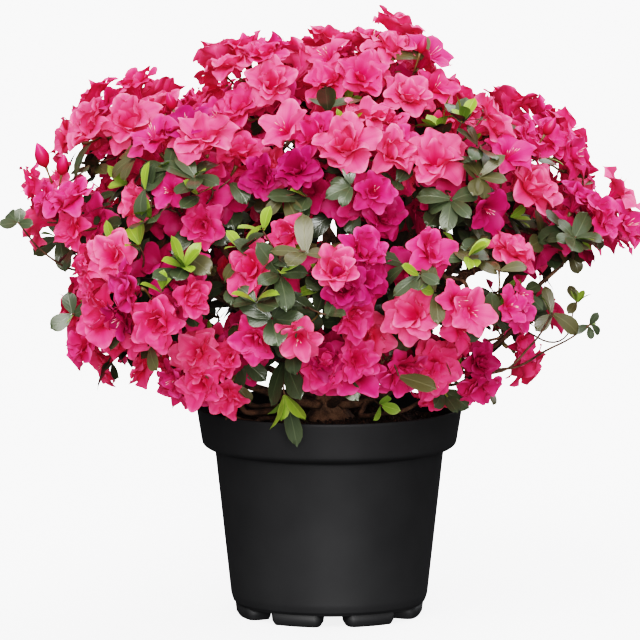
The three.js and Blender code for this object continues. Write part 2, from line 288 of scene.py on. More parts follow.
def whorl(kind, openness, roll):
    """One whorl of petals for each flower, shape (flowers, petals, rows, cols, 3).

    A petal sets out flat, so that the tube is closed at its foot, leans little along the tube,
    then opens, and bends back at its tip. Its row widens from the tube's share to a blade that is
    broadest past its middle. It is cupped by the square of the way across, creased and pleated
    along, and ruffled by a wave that grows to the edge, and each edge curls up or down by itself.
    """
    petals, length, half, opening, spread, cup, ruffle, turn = kind
    flowers = len(openness)
    count = flowers * petals
    each = np.repeat(openness, petals)
    size = roll.normal(1, 0.06, count)
    opening = np.radians(opening * each + roll.normal(0, spread, count))
    recurve = np.radians(roll.normal(30, 17, count)) * each
    total = TUBE + length * size

    def lean(s):
        opened = (opening - TUBE_LEAN)[:, None] * ease((s - 0.26) / 0.34)
        closed = math.radians(64) * (1 - ease((s - 0.03) / 0.06))
        return TUBE_LEAN + closed + opened + recurve[:, None] * ease((s - 0.62) / 0.38)

    v, u = PETAL_ROWS[:, None], PETAL_COLS
    blade = ease((PETAL_ROWS - 0.22) / 0.46)
    blunt = roll.uniform(0.32, 0.5, (count, 1))
    taper = 1 - blunt * np.clip((PETAL_ROWS - 0.66) / 0.34, 0, 1) ** 1.8
    width = half * roll.normal(1, 0.07, count)
    share = TUBE_FOOT * (0.8 + 2 * PETAL_ROWS) * (0.15 + 0.85 * ease(PETAL_ROWS / 0.06))
    frill = 1 + roll.normal(0, 0.03, (count, len(PETAL_ROWS))) * blade
    rows = share * (1 - blade) + width[:, None] * blade * taper * frill
    phase = roll.uniform(0, TAU, (count, 1, 1))
    waves = roll.uniform(1.3, 2.2, (count, 1, 1))
    growth = ease((v - 0.3) / 0.5)
    cups = (cup + roll.normal(0, 0.16, (count, 1, 1))) * growth + 0.5 * (1 - growth)
    lift = rows[:, :, None] * cups * u**2
    edge = np.sin(waves * TAU * v + phase + np.where(u > 0, 2.3, 0))
    lift = lift + ruffle * growth * np.abs(u) ** 1.3 * edge
    lift = lift + 0.9 * MM * growth * np.sin(5.3 * v + 2 * phase) * np.sin(3.1 * u + phase)
    lift = lift + 0.45 * MM * growth * np.cos(8 * u + phase) * (1.3 - v)
    lift = lift - 1 * MM * growth * np.exp(-((u / 0.3) ** 2)) * (1 - 0.6 * v)
    lift = lift + rows[:, :, None] * u * growth * roll.normal(0, 0.16, (count, 1, 1))
    curl = roll.normal(0, 0.22, (count, 1, 2))[:, :, (0, 0, 0, 0, 1, 1, 1)]
    lift = lift + rows[:, :, None] * curl * u**4 * ease((v - 0.45) / 0.4)
    around = np.tile(np.arange(petals) / petals * TAU + turn, flowers)
    around = around + roll.normal(0, 0.1, count) + np.repeat(roll.uniform(0, TAU, flowers), petals)
    foot = np.full(count, 0.2 * MM)
    grids = blades(PETAL_ROWS, PETAL_COLS, total, lean, rows, lift, around, foot, 0.17)
    return grids.reshape(flowers, petals, *grids.shape[1:])


def leaf_blades(length, half, lean_start, curl, fold, point, azimuth, roll):
    """Leaves round the Z axis: a short stalk, then an oval blade, broadest well past its middle,
    with a tip that is the sharper the greater its point.

    Across, a leaf is folded up from its midrib by a share of its width and rounded down again at
    its edges. Along, its lean grows by the curl, so its tip bows down.
    """
    count = len(length)

    def lean(s):
        return lean_start[:, None] + curl[:, None] * s**1.5

    along = np.clip((LEAF_ROWS - 0.07) / 0.93, 0, 1)
    oval = (1 - np.abs((along - 0.63) / np.where(along < 0.63, 0.66, 0.375)) ** 2) ** point
    rows = half[:, None] * np.maximum(oval, 0.1)
    v, u = LEAF_ROWS[:, None], LEAF_COLS
    phase = roll.uniform(0, TAU, (count, 1, 1))
    lift = rows[:, :, None] * (fold[:, None, None] * np.abs(u) - 0.1 * u**2)
    lift = lift + rows[:, :, None] * 0.12 * np.sin(2.4 * v + phase) * u
    foot = np.full(count, 0.8 * MM)
    return blades(LEAF_ROWS, LEAF_COLS, length, lean, rows, lift, azimuth, foot, 0.05)


GOLDEN = math.radians(137.5)  # the turn from each leaf of a shoot to the next

# Kinds of leaf: length, half width, lean from the shoot and curl in degrees, each as its middle
# and spread, then fold and point.
OLD_LEAF = ((22, 3), (6.4, 0.7), (72, 17), (34, 18), 0.18, 0.58)
TRUSS_LEAF = ((23, 3), (6.6, 0.7), (94, 10), (26, 14), 0.16, 0.58)
HANGING_LEAF = ((26, 2), (5.4, 0.4), (22, 10), (-12, 8), 0.14, 0.66)
NEW_LEAF = ((19, 3), (4.5, 0.5), (34, 13), (26, 16), 0.3, 0.7)

CUP_FOOT = 4 * MM  # leaves keep out of a flower's cup between these heights over its foot
CUP_TOP = 34 * MM
CUP_R = 2 * MM  # reach of the cup at the flower's foot, and how fast it opens upwards
CUP_OPENING = 0.6
LEAF_MARGINS = 4 * MM, 2 * MM  # between a gap and the middle and the tip of a leaf


def clear_of(grids, feet, ways):
    """The leaves that keep out of the gaps and of all the flowers' cups: at its middle and at its
    tip each is outside every cone that opens from a flower's foot along the flower's way."""
    spots = grids[:, [4, -1], grids.shape[2] // 2]
    off = spots[:, :, None] - feet
    up = np.einsum("npfk,fk->npf", off, ways)
    aside = np.linalg.norm(off - up[..., None] * ways, axis=3)
    inside = (up > CUP_FOOT) & (up < CUP_TOP) & (aside < CUP_R + CUP_OPENING * up)
    over_gap = in_gaps(spots[:, 0], LEAF_MARGINS[0]) | in_gaps(spots[:, 1], LEAF_MARGINS[1])
    return grids[~(inside.any(axis=(1, 2)) | over_gap)]


def leaf_shoots(kind, counts, axes, origin, size, roll):
    """Leaves round the ends of shoots: counts of them on each, a golden turn apart."""
    length, half, lean, curl, fold, point = kind
    owner = np.repeat(np.arange(len(counts)), counts)
    number = np.arange(len(owner)) - np.repeat(np.cumsum(counts) - counts, counts)
    total = len(owner)
    grown = size[owner] * roll.uniform(0.85, 1.1, total)
    grids = leaf_blades(
        roll.normal(*length, total) * MM * grown,
        roll.normal(*half, total) * MM * grown,
        np.radians(roll.normal(*lean, total)),
        np.radians(roll.normal(*curl, total)),
        np.full(total, fold),
        point,
        number * GOLDEN + roll.normal(0, 0.2, total) + roll.uniform(0, TAU, len(counts))[owner],
        roll,
    )
    down = roll.uniform(0, 4, total) * MM  # leaves leave the shoot at several heights
    return placed(grids, axes[owner], origin[owner] - axes[owner, 2] * down[:, None])


def bud_grids(length, half, axes, origin):
    """Furled buds: ovals of revolution with five folds that wind up them."""
    rows, cols = 11, 15
    s = np.linspace(0.03, 0.985, rows)[:, None]
    turn = np.arange(cols) / cols * TAU
    fold = 1 + 0.1 * np.cos(5 * (turn + 1.1 * s)) * ease(s * 3)
    reach = np.sin(np.pi * s**0.72) ** 0.75 * fold
    ring = np.stack([reach * np.cos(turn), reach * np.sin(turn), np.broadcast_to(s, reach.shape)], -1)
    local = ring * np.stack([half, half, length], axis=-1)[:, None, None, :]
    return placed(local, axes, origin)


# ---- where flowers and leafy shoots sit -----------------------------------------------------

SKIN_POINTS = 700  # tries on each mass
FACING = 0.12  # least cosine between a mass's face and the way out of the crown
FACES_FRONT = -0.05  # a spot's way out has less than this along Y where it faces the front
BACK_COUNTS = 0.25  # how much a foremost place counts standing back, beside being off its place
FLOWER_GAP = 24 * MM
LOW_GAP = 1.18  # low on the crown flowers stand this many times as far apart
LOW_Z = 270 * MM  # below this height that sets in, over LOW_SOFT
LOW_SOFT = 70 * MM
LEAFY_FLOWER_GAP = 54 * MM
SHOOT_GAP = 50 * MM
HIGH_SHOOT_GAP = 15 * MM  # added to it above HIGH_Z, over HIGH_SOFT
HIGH_Z = 300 * MM
HIGH_SOFT = 60 * MM
LEAFY_SHOOT_GAP = 21 * MM
FLOWER_SINK = 20 * MM  # from the crown's skin down to the foot of a flower
TOP_Z = 408 * MM  # above this height everything stands deeper, by up to TOP_SINK
TOP_SINK = 3 * MM
SOFT = 18 * MM  # over which this sets in
FLOWER_TALL = 17 * MM  # from a flower's foot up to the plane of its petals
FLOWER_R = 20 * MM
INNER_GAP = 29 * MM  # flowers of the inner layer, seen deep between the outer ones
INNER_SINK = 50 * MM
SHOOT_SINK = 17 * MM
SHOOT_CLEAR = 16 * MM  # leafy shoots keep this far from the flowers and the foremost shoots
DEEP_GAP = 25 * MM  # leafy shoots low inside the crown
DEEP_SINK = 36 * MM
DEEP_Z = 310 * MM
ROSETTE_SINK = 5 * MM
ROSETTE_GAP = 15.5 * MM  # flowers keep this far from the foremost leafy shoots
LEADER_GAP = 13 * MM  # the foremost flowers may stand this near each other
# The inner layer stands in shade, so its flowers are dealt deep tints: painted shade.
INNER_LOOKS = (1.0, -0.8)  # size and paleness of every flower of the inner layer
FULL_SIZE = 1.02  # flowers that are drawn larger than this have all their whorls
SHOOT_R = 16 * MM
SKIRT_Z = 155 * MM  # no flower hangs lower than this, so that the pot's lip shows
APRON_Z = 174 * MM  # nor lower than this over the middle of the peat
APRON_WIDE = 52 * MM
UNEVEN = 4  # millimetres by which flowers and shoots stand off the depth of their sink
FLATTEN = (1, 1, 0.85)  # the way out of the crown is flattened by this before they turn
TILT = 0.24  # how far flowers and shoots turn aside from the way out of the crown
FLOWER_RISE = 0.1  # how far they turn up from it
SHOOT_RISE = 0.75
OLD_LEAVES = 5, 9  # a leafy shoot has at least so many old leaves, and fewer than so many
NEW_LEAVES = 0, 5
FRESH_SHARE = 0.5  # the share of the shoots that may carry fresh leaves
TRUSS_REACH = 40 * MM  # flowers this near each other share a shoot
TRUSS_FACING = 0.5  # if the cosine between their ways is greater than this
TRUSS_FLOWERS = 3
TRUSS_STALK = 11 * MM

# Places in the front view in millimetres: across, and up square to the line of sight.
# The patches where leaves outnumber flowers, each with its radius.
LEAFY_PATCHES = [
    (-128, 280, 30), (-90, 250, 34), (-48, 262, 30), (-40, 228, 24), (20, 306, 18), (76, 298, 16),
    (100, 334, 22), (104, 258, 32), (66, 240, 18), (164, 326, 16), (176, 262, 24), (-90, 312, 16),
    (-170, 322, 16), (-44, 345, 10), (-158, 218, 14), (-14, 262, 18), (5, 232, 16),
]
BACK_PATCHES = 12
BACK_PATCH_R = 28 * MM
PATCH_FALL = 0.7  # how steeply a patch thins out
# The gaps through which the background or the pot's lip shows, each with its radius.
GAPS = [
    (-78, 212, 5), (-127, 226, 3), (-46, 268, 3), (-13, 220, 6), (3, 277, 5), (84, 242, 6),
    (100, 236, 6), (116, 240, 5), (145, 237, 5), (118, 198, 7), (79, 200, 4), (148, 323, 2),
    (186, 246, 10), (201, 241, 14), (186, 222, 8), (192, 206, 10), (-208, 254, 12), (-211, 334, 5),
    (-226, 268, 4), (-202, 386, 15), (176, 382, 9), (232, 322, 8), (-201, 362, 5),
    (-28, 168, 4), (-104, 394, 6), (76, 420, 5), (160, 384, 9),
]
FLOWER_MARGIN = 13 * MM  # between a gap and the middle of the nearest flower
SHOOT_MARGIN = 6 * MM
# The foremost flowers: place, size, and how pale (1) or deep (-1) they are; this paleness is painted
# light and shade, paler for a flower in the light and deeper for one in shade.
LEADERS = [
    (-145, 360, 1.22, 1), (-90, 338, 1.22, 1), (15, 335, 1.28, 1), (70, 322, 1.12, 0.3),
    (-40, 368, 1.1, 0.6), (-78, 400, 1.05, 0.6), (-18, 396, 1.1, 0.6), (44, 412, 1, 0.5),
    (24, 396, 0.95, 0.2), (56, 392, 1.05, 0.6), (86, 382, 0.95, 0.2), (30, 370, 1.05, 0.6),
    (119, 368, 1.18, 0.8), (163, 350, 1, -0.4), (188, 338, 0.9, -0.6), (184, 308, 0.9, -0.6),
    (148, 300, 1.18, 0.5), (142, 268, 1.05, 0.9), (199, 286, 0.95, -0.3), (-176, 346, 1.1, 0.4),
    (-214, 300, 0.8, 0.2), (-190, 300, 1.05, -0.2), (-188, 276, 0.9, 0), (-160, 262, 1.15, 0.6),
    (-144, 234, 1, -1), (-174, 238, 1, 0.4), (-175, 204, 1.15, 0.3), (-125, 200, 1.2, 0.6),
    (-103, 182, 1.05, 0.5), (-120, 164, 0.9, -0.6), (-101, 163, 0.95, 0.3), (-65, 183, 0.95, 0),
    (-22, 198, 1, 0.4), (-8, 176, 0.95, -0.6), (-100, 226, 1, 0.2), (-87, 268, 0.85, 0),
    (-55, 310, 0.95, -0.5), (-30, 318, 0.9, -0.6), (-20, 286, 1.05, -0.1), (-116, 304, 0.8, -0.3),
    (-146, 298, 0.85, 0.2), (5, 246, 1.1, 0.2), (32, 262, 1, -0.8), (42, 282, 1, -0.7),
    (40, 240, 0.95, -0.8), (34, 304, 0.85, -0.6), (90, 286, 0.9, -0.6), (88, 220, 0.85, 0.3),
    (106, 214, 0.82, 0.3), (131, 220, 0.8, 0), (120, 176, 0.95, -0.1), (150, 198, 0.76, -0.4),
    (160, 228, 0.72, -0.2), (54, 196, 1.15, 0.6), (79, 178, 1.15, 0.6), (28, 200, 1, 0.3),
    (22, 180, 0.9, -0.3), (96, 194, 0.9, 0.2), (-112, 374, 1, -0.9), (-92, 368, 0.9, -1),
    (75, 158, 0.95, -0.2), (-6, 160, 0.85, 0), (-152, 216, 0.9, -1), (-66, 228, 0.8, -0.8),
    (150, 346, 0.9, -0.2), (112, 292, 0.85, -0.7), (14, 226, 0.9, -1),
    (-4, 414, 1, 0.2), (-46, 390, 1, 0.4), (60, 350, 0.95, 0), (-196, 322, 0.75, 0.3),
    (-188, 186, 1.2, 0.1), (-140, 168, 1.15, 0.2),
]
# The foremost leafy shoots: place, and their numbers of old and of fresh leaves.
ROSETTES = [
    (-133, 304, 4, 6), (-129, 284, 6, 6), (-92, 254, 8, 6), (-64, 262, 4, 4), (-40, 246, 6, 3),
    (-52, 222, 6, 2), (73, 356, 6, 6), (96, 350, 5, 4), (107, 334, 8, 1), (164, 330, 7, 3),
    (101, 262, 8, 6), (122, 248, 7, 0), (180, 272, 8, 1), (16, 308, 8, 0), (74, 298, 6, 0),
    (106, 308, 7, 0), (-92, 314, 8, 1), (-44, 344, 6, 0), (-140, 330, 5, 0), (-168, 322, 7, 0),
    (66, 240, 7, 1), (-14, 262, 6, 0), (-3, 216, 5, 0), (62, 404, 3, 0),
    (-133, 176, 4, 0), (-86, 170, 4, 0), (50, 168, 4, 0), (96, 166, 4, 0), (-50, 276, 5, 3),
    (115, 205, 4, 0), (-92, 296, 6, 2), (2, 372, 4, 0), (-182, 320, 5, 0), (-30, 300, 6, 0),
]


def front_place(points):
    """Where points stand in the front view: across, and up square to the line of sight."""
    up = points[..., 2] * math.cos(LOOK_DOWN) + points[..., 1] * math.sin(LOOK_DOWN)
    return np.stack([points[..., 0], up], axis=-1)


def reach_of(places, points):
    """How far each point is, in the front view, from each place."""
    return np.linalg.norm(front_place(points)[:, None] - np.array(places, float)[:, :2] * MM, axis=2)


def foremost(places, spots, ways):
    """For each place in the front view the number of a near spot that faces the front: the one
    with the least sum of its distance from the place and a share of how far back it stands."""
    away = np.where(ways[:, 1] < FACES_FRONT, 0, 1) + spots[:, 1] * BACK_COUNTS
    return (reach_of(places, spots) + away[:, None]).argmin(axis=0)


def in_gaps(points, margin):
    """Whether points would stand in one of the gaps, or nearer to it than the margin."""
    radius = np.array(GAPS, float)[:, 2] * MM
    return (reach_of(GAPS, points) < radius + margin).any(axis=1)


def leafiness(spots, ways):
    """From 0 where flowers crowd to 1 where leaves do: a bell over each leafy patch."""
    front = ways[:, 1] < 0.1
    radius = np.array(LEAFY_PATCHES, float)[:, 2] * MM
    near = reach_of(LEAFY_PATCHES, spots) / radius
    heat = np.exp(-(near**2) * PATCH_FALL).max(axis=1) * front
    back = np.flatnonzero(~front)
    for i in dice("back patches").choice(back, BACK_PATCHES, replace=False):
        far = np.linalg.norm(spots - spots[i], axis=1) / BACK_PATCH_R
        heat = np.maximum(heat, np.where(front, 0, np.exp(-(far**2) * PATCH_FALL)))
    return heat


def settled(spots, ways, sink, tall, reach, rise, roll):
    """Where flowers or shoots stand below spots of the skin, and their ways, which turn a little
    aside and rise. One that would hang below its least height is raised to it."""
    way = unit(ways * FLATTEN + roll.normal(0, TILT, (len(spots), 3)) + UP * rise)
    depth = sink + roll.uniform(-UNEVEN, UNEVEN, len(spots)) * MM
    depth = depth + TOP_SINK * ease((spots[:, 2] - TOP_Z) / SOFT)
    foot = spots - ways * depth[:, None]
    lowest = foot[:, 2] + way[:, 2] * tall - reach * np.sqrt(1 - way[:, 2] ** 2)
    middle = 1 - ease((np.abs(foot[:, 0]) - APRON_WIDE * 0.7) / (APRON_WIDE * 0.6))
    least = SKIRT_Z + (APRON_Z - SKIRT_Z) * middle
    foot[:, 2] += np.maximum(least - lowest, 0)
    return foot, way


def plan_crown():
    """The places and ways of flowers and of leafy shoots, each with the number of its mass and
    its two traits: size and paleness of a flower, old and fresh leaves of a shoot."""
    spots, ways, owners = outer_skin()
    heat = leafiness(spots, ways)
    roll = dice("plan")
    leaders, rosettes = (foremost(places, spots, ways) for places in (LEADERS, ROSETTES))
    looks = np.tile([1.0, 0.0], (len(spots), 1))
    looks[leaders] = np.array(LEADERS)[:, 2:]
    leaves = [roll.integers(*counts, len(spots)) for counts in (OLD_LEAVES, NEW_LEAVES)]
    leaves = np.stack(leaves, axis=-1)
    leaves[:, 1] *= roll.uniform(0, 1, len(spots)) < FRESH_SHARE
    leaves[rosettes] = np.array(ROSETTES)[:, 2:]
    free = roll.permutation(len(spots))
    low = 1 + (LOW_GAP - 1) * ease((LOW_Z - spots[:, 2]) / LOW_SOFT)
    gaps = (FLOWER_GAP + (LEAFY_FLOWER_GAP - FLOWER_GAP) * heat) * low
    gaps[leaders] = LEADER_GAP
    order = np.concatenate([leaders, free])
    flowers = spread_out(spots, gaps, (spots[rosettes], ROSETTE_GAP), order)
    gaps = SHOOT_GAP + HIGH_SHOOT_GAP * ease((spots[:, 2] - HIGH_Z) / HIGH_SOFT)
    gaps = gaps + (LEAFY_SHOOT_GAP - gaps) * heat
    standing = spots[np.concatenate([flowers, rosettes])]
    shoots = spread_out(spots, gaps, (standing, SHOOT_CLEAR), free)
    inner = spread_out(spots, np.full(len(spots), INNER_GAP), (), roll.permutation(free))
    low = roll.permutation(free[spots[free, 2] < DEEP_Z])
    deep = spread_out(spots, np.full(len(spots), DEEP_GAP), (), low)
    plan = {}
    flower = FLOWER_TALL, FLOWER_R, FLOWER_RISE
    shoot = 0, SHOOT_R, SHOOT_RISE
    for label, chosen, sink, margin, (tall, reach, rise), traits in (
        ("flowers", flowers, FLOWER_SINK, FLOWER_MARGIN, flower, looks),
        ("inner", inner, INNER_SINK, FLOWER_MARGIN, flower, np.tile(INNER_LOOKS, (len(spots), 1))),
        ("rosettes", rosettes, ROSETTE_SINK, 0, shoot, leaves),
        ("shoots", shoots, SHOOT_SINK, SHOOT_MARGIN, shoot, leaves),
        ("deep", deep, DEEP_SINK, SHOOT_MARGIN, shoot, leaves),
    ):
        foot, way = settled(spots[chosen], ways[chosen], sink, tall, reach, rise, roll)
        kept = ~in_gaps(foot + way * tall, margin) | np.isin(chosen, leaders)
        plan[label] = foot[kept], way[kept], owners[chosen][kept], traits[chosen][kept]
    return plan


def trusses(feet, ways, owners):
    """Groups of up to three near flowers of one mass: the flowers' numbers in each group."""
    free = np.ones(len(feet), bool)
    groups = []
    for i in range(len(feet)):
        if not free[i]:
            continue
        near = np.linalg.norm(feet - feet[i], axis=1)
        fit = free & (owners == owners[i]) & (near < TRUSS_REACH) & (ways @ ways[i] > TRUSS_FACING)
        members = np.flatnonzero(fit)[np.argsort(near[fit])][:TRUSS_FLOWERS]
        free[members] = False
        groups.append(members)
    return groups


# ---- limbs, twigs and stalks ----------------------------------------------------------------

# Twigs that stand out of the crown: points in millimetres on the way from the nearest bough to
# the tip, the radius at both ends, how many old, hanging and new leaves the tip carries, and
# their size.
STRAYS = [
    ([(-150, -15, 243), (-184, -20, 251), (-206, -30, 266), (-221, -44, 288)], 1, 0.6, (4, 0, 0), 0.74),
    ([(107, -5, 189), (136, -8, 207), (148, -8, 234), (172, -8, 262)], 2.2, 1.3, (5, 0, 0), 0.9),
    ([(100, -20, 176), (134, -26, 182), (164, -28, 198), (186, -28, 213)], 1.2, 0.6, (4, 0, 1), 0.52),
    ([(164, -28, 198), (172, -30, 213), (176, -31, 230)], 0.8, 0.5, (2, 0, 4), 0.6),
    ([(60, -50, 176), (92, -76, 190), (120, -84, 212), (138, -80, 244)], 1.3, 0.8, (4, 0, 0), 0.8),
    ([(64, -56, 172), (104, -80, 180), (138, -78, 196), (158, -66, 226)], 1.2, 0.7, (3, 0, 2), 0.7),
    ([(60, -46, 184), (84, -70, 210), (100, -80, 240)], 1.1, 0.8, (0, 0, 0), 1),
    ([(-40, -80, 206), (-33, -106, 208), (-31, -122, 198)], 1.1, 0.8, (0, 3, 0), 1.25),
    ([(-33, -106, 208), (-32, -122, 188), (-31, -122, 172)], 0.8, 0.6, (0, 1, 6), 1.3),
    ([(12, -25, 178), (24, -52, 169), (37, -78, 161)], 0.9, 0.6, (0, 0, 3), 0.8),
    ([(-30, -25, 148), (-52, -40, 152), (-78, -52, 162), (-100, -60, 178)], 2.4, 1.9, (0, 0, 0), 1),
    ([(-28, -12, 149), (-60, -22, 156), (-96, -34, 176)], 2.2, 1.6, (0, 0, 0), 1),
    ([(-24, -38, 146), (-50, -54, 147), (-74, -60, 150)], 1.9, 1.7, (0, 0, 0), 1),
    ([(-20, -46, 146), (-44, -62, 146), (-66, -66, 149)], 1.7, 1.5, (0, 0, 0), 1),
    ([(20, -34, 147), (46, -50, 152), (74, -58, 166)], 1.9, 1.5, (0, 0, 0), 1),
    ([(10, 40, 150), (40, 62, 158), (70, 84, 178)], 2.2, 1.6, (0, 0, 0), 1),
    ([(-140, -20, 222), (-160, -26, 222), (-183, -42, 222)], 0.9, 0.6, (3, 0, 1), 0.85),
    ([(-130, 60, 230), (-176, 84, 238), (-196, 96, 262)], 0.9, 0.6, (5, 0, 2), 0.9),
    ([(60, 150, 240), (84, 184, 252), (90, 196, 274)], 0.9, 0.6, (4, 0, 3), 0.9),
    ([(-60, 120, 190), (-84, 156, 186), (-96, 170, 200)], 0.9, 0.6, (5, 0, 3), 0.9),
]
STRAY_STEPS = 26
STRAY_SIDES = 8
STRAY_RELIEF = 0.09  # depth of the bark's relief as a share of the radius
# Buds: place in millimetres, way and length.
BUDS = [
    ((-201, -40, 327), (-0.35, -0.3, 1), 20), ((-190, -46, 322), (0.15, -0.4, 1), 17),
    ((-47, -112, 214), (0.3, -0.8, 1), 15), ((152, -60, 352), (0.6, -0.2, 1), 15),
    ((64, -40, 408), (0.3, -0.3, 1), 13), ((-110, -80, 372), (-0.3, -0.3, 1), 14),
]
BOUGH_STEPS = 36
BOUGH_SIDES = 12
BOUGH_RELIEF = 0.11
STEM_RELIEF = 0.05
BOUGH_ROOT = 3 * MM  # a bough starts this far back inside the stock
TWIG_STEPS = 7
TWIG_SIDES = 5
TWIG_R = 0.75 * MM
TWIG_POWER = 0.4  # a twig that feeds n shoots is n to this power times as thick
FORK_AT = 0.42  # how far along to the middle of its shoots a limb forks
SWAY = 2.5 * MM


def arc(start, heading, end, steps, roll):
    """A twig's line from start to end: it sets out along heading and bends to its end, with a
    little sway square to its way."""
    far = np.linalg.norm(end - start)
    middle = start + heading * far * 0.45
    t = np.linspace(0, 1, steps)[:, None]
    line = (1 - t) ** 2 * start + 2 * t * (1 - t) * middle + t**2 * end
    return line + np.sin(np.pi * t) * roll.normal(0, 0.05 * far, 3)


def grow(start, heading, tips, twigs, roll):
    """Forks a limb to the halves of its shoots, again and again, until each twig feeds one."""
    if len(tips) == 1:
        twigs.append((arc(start, heading, tips[0], TWIG_STEPS, roll), 1))
        return
    middle = tips.mean(axis=0)
    spread = tips - middle
    longest = np.linalg.svd(spread)[2][0]
    fork = start + (middle - start) * FORK_AT + roll.normal(0, SWAY, 3)
    line = arc(start, heading, fork, TWIG_STEPS, roll)
    twigs.append((line, len(tips)))
    onward = unit(line[-1] - line[-2])
    for half in np.array_split(np.argsort(spread @ longest), 2):
        grow(fork, onward, tips[half], twigs, roll)


def twig_tubes(twigs):
    """All twigs as tubes, thick by how many shoots they feed, thinning a little to their ends."""
    lines = np.stack([line for line, _ in twigs])
    feeds = np.array([count for _, count in twigs])
    root = TWIG_R * feeds**TWIG_POWER
    thin = np.linspace(1, 0.86, TWIG_STEPS)
    return tubes(ring_tubes(lines, root[:, None] * thin, TWIG_SIDES))


def stalks(start, start_way, end, end_way, radii, sides):
    """Bowed tubes, each setting out along one way and coming in along another (a cubic curve
    through both ends)."""
    steps = len(radii)
    far = np.linalg.norm(end - start, axis=1)[:, None, None]
    t = np.linspace(0, 1, steps)[None, :, None]
    a, b = start[:, None], end[:, None]
    line = (1 - t) ** 3 * a + 3 * (1 - t) ** 2 * t * (a + start_way[:, None] * far * 0.4)
    line = line + 3 * (1 - t) * t**2 * (b - end_way[:, None] * far * 0.35) + t**3 * b
    return tubes(ring_tubes(line, np.tile(radii, (len(start), 1)), sides))


def smooth_line(points, steps):
    """A line in even steps along straight runs between a few points, then rounded by taking
    each step to the mean of itself and its neighbours, several times over."""
    run = np.concatenate([[0], np.cumsum(np.linalg.norm(np.diff(points, axis=0), axis=1))])
    t = np.linspace(0, run[-1], steps)
    line = np.stack([np.interp(t, run, points[:, k]) for k in range(3)], axis=-1)
    for _ in range(5):
        line[1:-1] = (line[:-2] + 2 * line[1:-1] + line[2:]) / 4
    return line


def stray_twigs(limb_lines):
    """The stray twigs as one part, and where each ends and heads. Each starts on the bough point
    nearest to its first point."""
    on_limbs = limb_lines.reshape(-1, 3)
    lines, radii = [], []
    for points, thick, thin, _, _ in STRAYS:
        points = np.array(points) * MM
        near = on_limbs[np.linalg.norm(on_limbs - points[0], axis=1).argmin()]
        lines.append(smooth_line(np.vstack([near, points]), STRAY_STEPS))
        radii.append(np.linspace(thick, thin, STRAY_STEPS) * MM)
    lines, radii = np.stack(lines), np.stack(radii)
    wander = dice("strays").normal(0, 1, (len(lines), 2, 3)) * 1.2 * MM
    t = np.linspace(0, 1, STRAY_STEPS)[None, :, None]
    wave = np.sin(11 * t) * wander[:, :1] + np.sin(19 * t) * wander[:, 1:]
    lines = lines + np.sin(np.pi * t) * wave
    turn = (np.arange(STRAY_SIDES) / STRAY_SIDES * TAU)[None, None, :]
    relief = bark_relief(t, turn, np.arange(len(lines))[:, None, None], STRAY_RELIEF)
    ways = unit(lines[:, -1] - lines[:, -3])
    return tubes(ring_tubes(lines, radii, STRAY_SIDES, relief)), lines[:, -1], ways


STEM_ROWS = 30
STEM_SIDES = 40


def bark_relief(along, turn, seed, depth):
    """Ridges that run up a limb and wander round it, crossed by slow swellings."""
    ridge = np.sin(5 * turn + 2.1 * np.sin(7 * along + seed))
    ridge = ridge + 0.6 * np.sin(9 * turn - 16 * along + 2 * seed)
    knuckle = 0.7 * np.sin(21 * along + 3 * seed) * np.sin(43 * along + seed)
    return depth * (0.6 * ridge + knuckle)


def stock():
    """The short woody stock: a flared foot whose lobes run up into a rounded fork."""
    low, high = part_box("stem")
    foot = (high[0] - low[0]) / 2
    tall = high[2] - low[2]
    t = np.linspace(0, 1, STEM_ROWS)[:, None]
    turn = np.arange(STEM_SIDES) / STEM_SIDES * TAU
    reach = foot * (0.66 + 0.34 * (1 - ease(t / 0.45)) - 0.62 * ease((t - 0.62) / 0.38) ** 1.4)
    lobes = 1 + 0.13 * (1 - t) * np.sin(5 * turn + 0.7) * np.cos(2 * turn)
    lobes = lobes + bark_relief(t, turn, 4, STEM_RELIEF)
    reach = np.maximum(reach * lobes, 0.6 * MM)
    z = low[2] - 1 * MM + t * tall + 0 * reach
    return tubes(np.stack([reach * np.cos(turn), reach * np.sin(turn), z], axis=-1)[None])


def limbs():
    """The boughs with the relief of their bark, as one part, and where each ends and heads."""
    lines, radii, ends = [], [], {}
    for name in MASSES:
        line, radius = limb_line(name, BOUGH_STEPS)
        back = unit(line[0] - line[1])
        line[0] = line[0] + back * BOUGH_ROOT
        t = np.linspace(0, 1, BOUGH_STEPS)[:, None]
        sway = dice("sway", name).normal(0, SWAY * 0.6, (2, 3))
        line = line + np.sin(np.pi * t) ** 2 * (np.sin(9 * t) * sway[0] + np.sin(17 * t) * sway[1])
        lines.append(line)
        radii.append(radius)
        ends[name] = line[-1], unit(line[-1] - line[-3])
    lines, radii = np.stack(lines), np.stack(radii)
    along = np.linspace(0, 1, BOUGH_STEPS)[None, :, None]
    turn = (np.arange(BOUGH_SIDES) / BOUGH_SIDES * TAU)[None, None, :]
    seeds = np.arange(len(MASSES))[:, None, None]
    relief = bark_relief(along, turn, seeds, BOUGH_RELIEF)
    return tubes(ring_tubes(lines, radii, BOUGH_SIDES, relief)), lines, ends


# ---- pot and peat ---------------------------------------------------------------------------

AROUND = 168
NOTCHES = 7
NOTCH_TURN = math.radians(3)  # the first water channel stands this far right of the front
FLOOR_Z = 8.2
FOOT_R = 66.6
CHANNEL_WIDE = 31
CHANNEL_NARROW = 14
CHANNEL_IN_R = 50

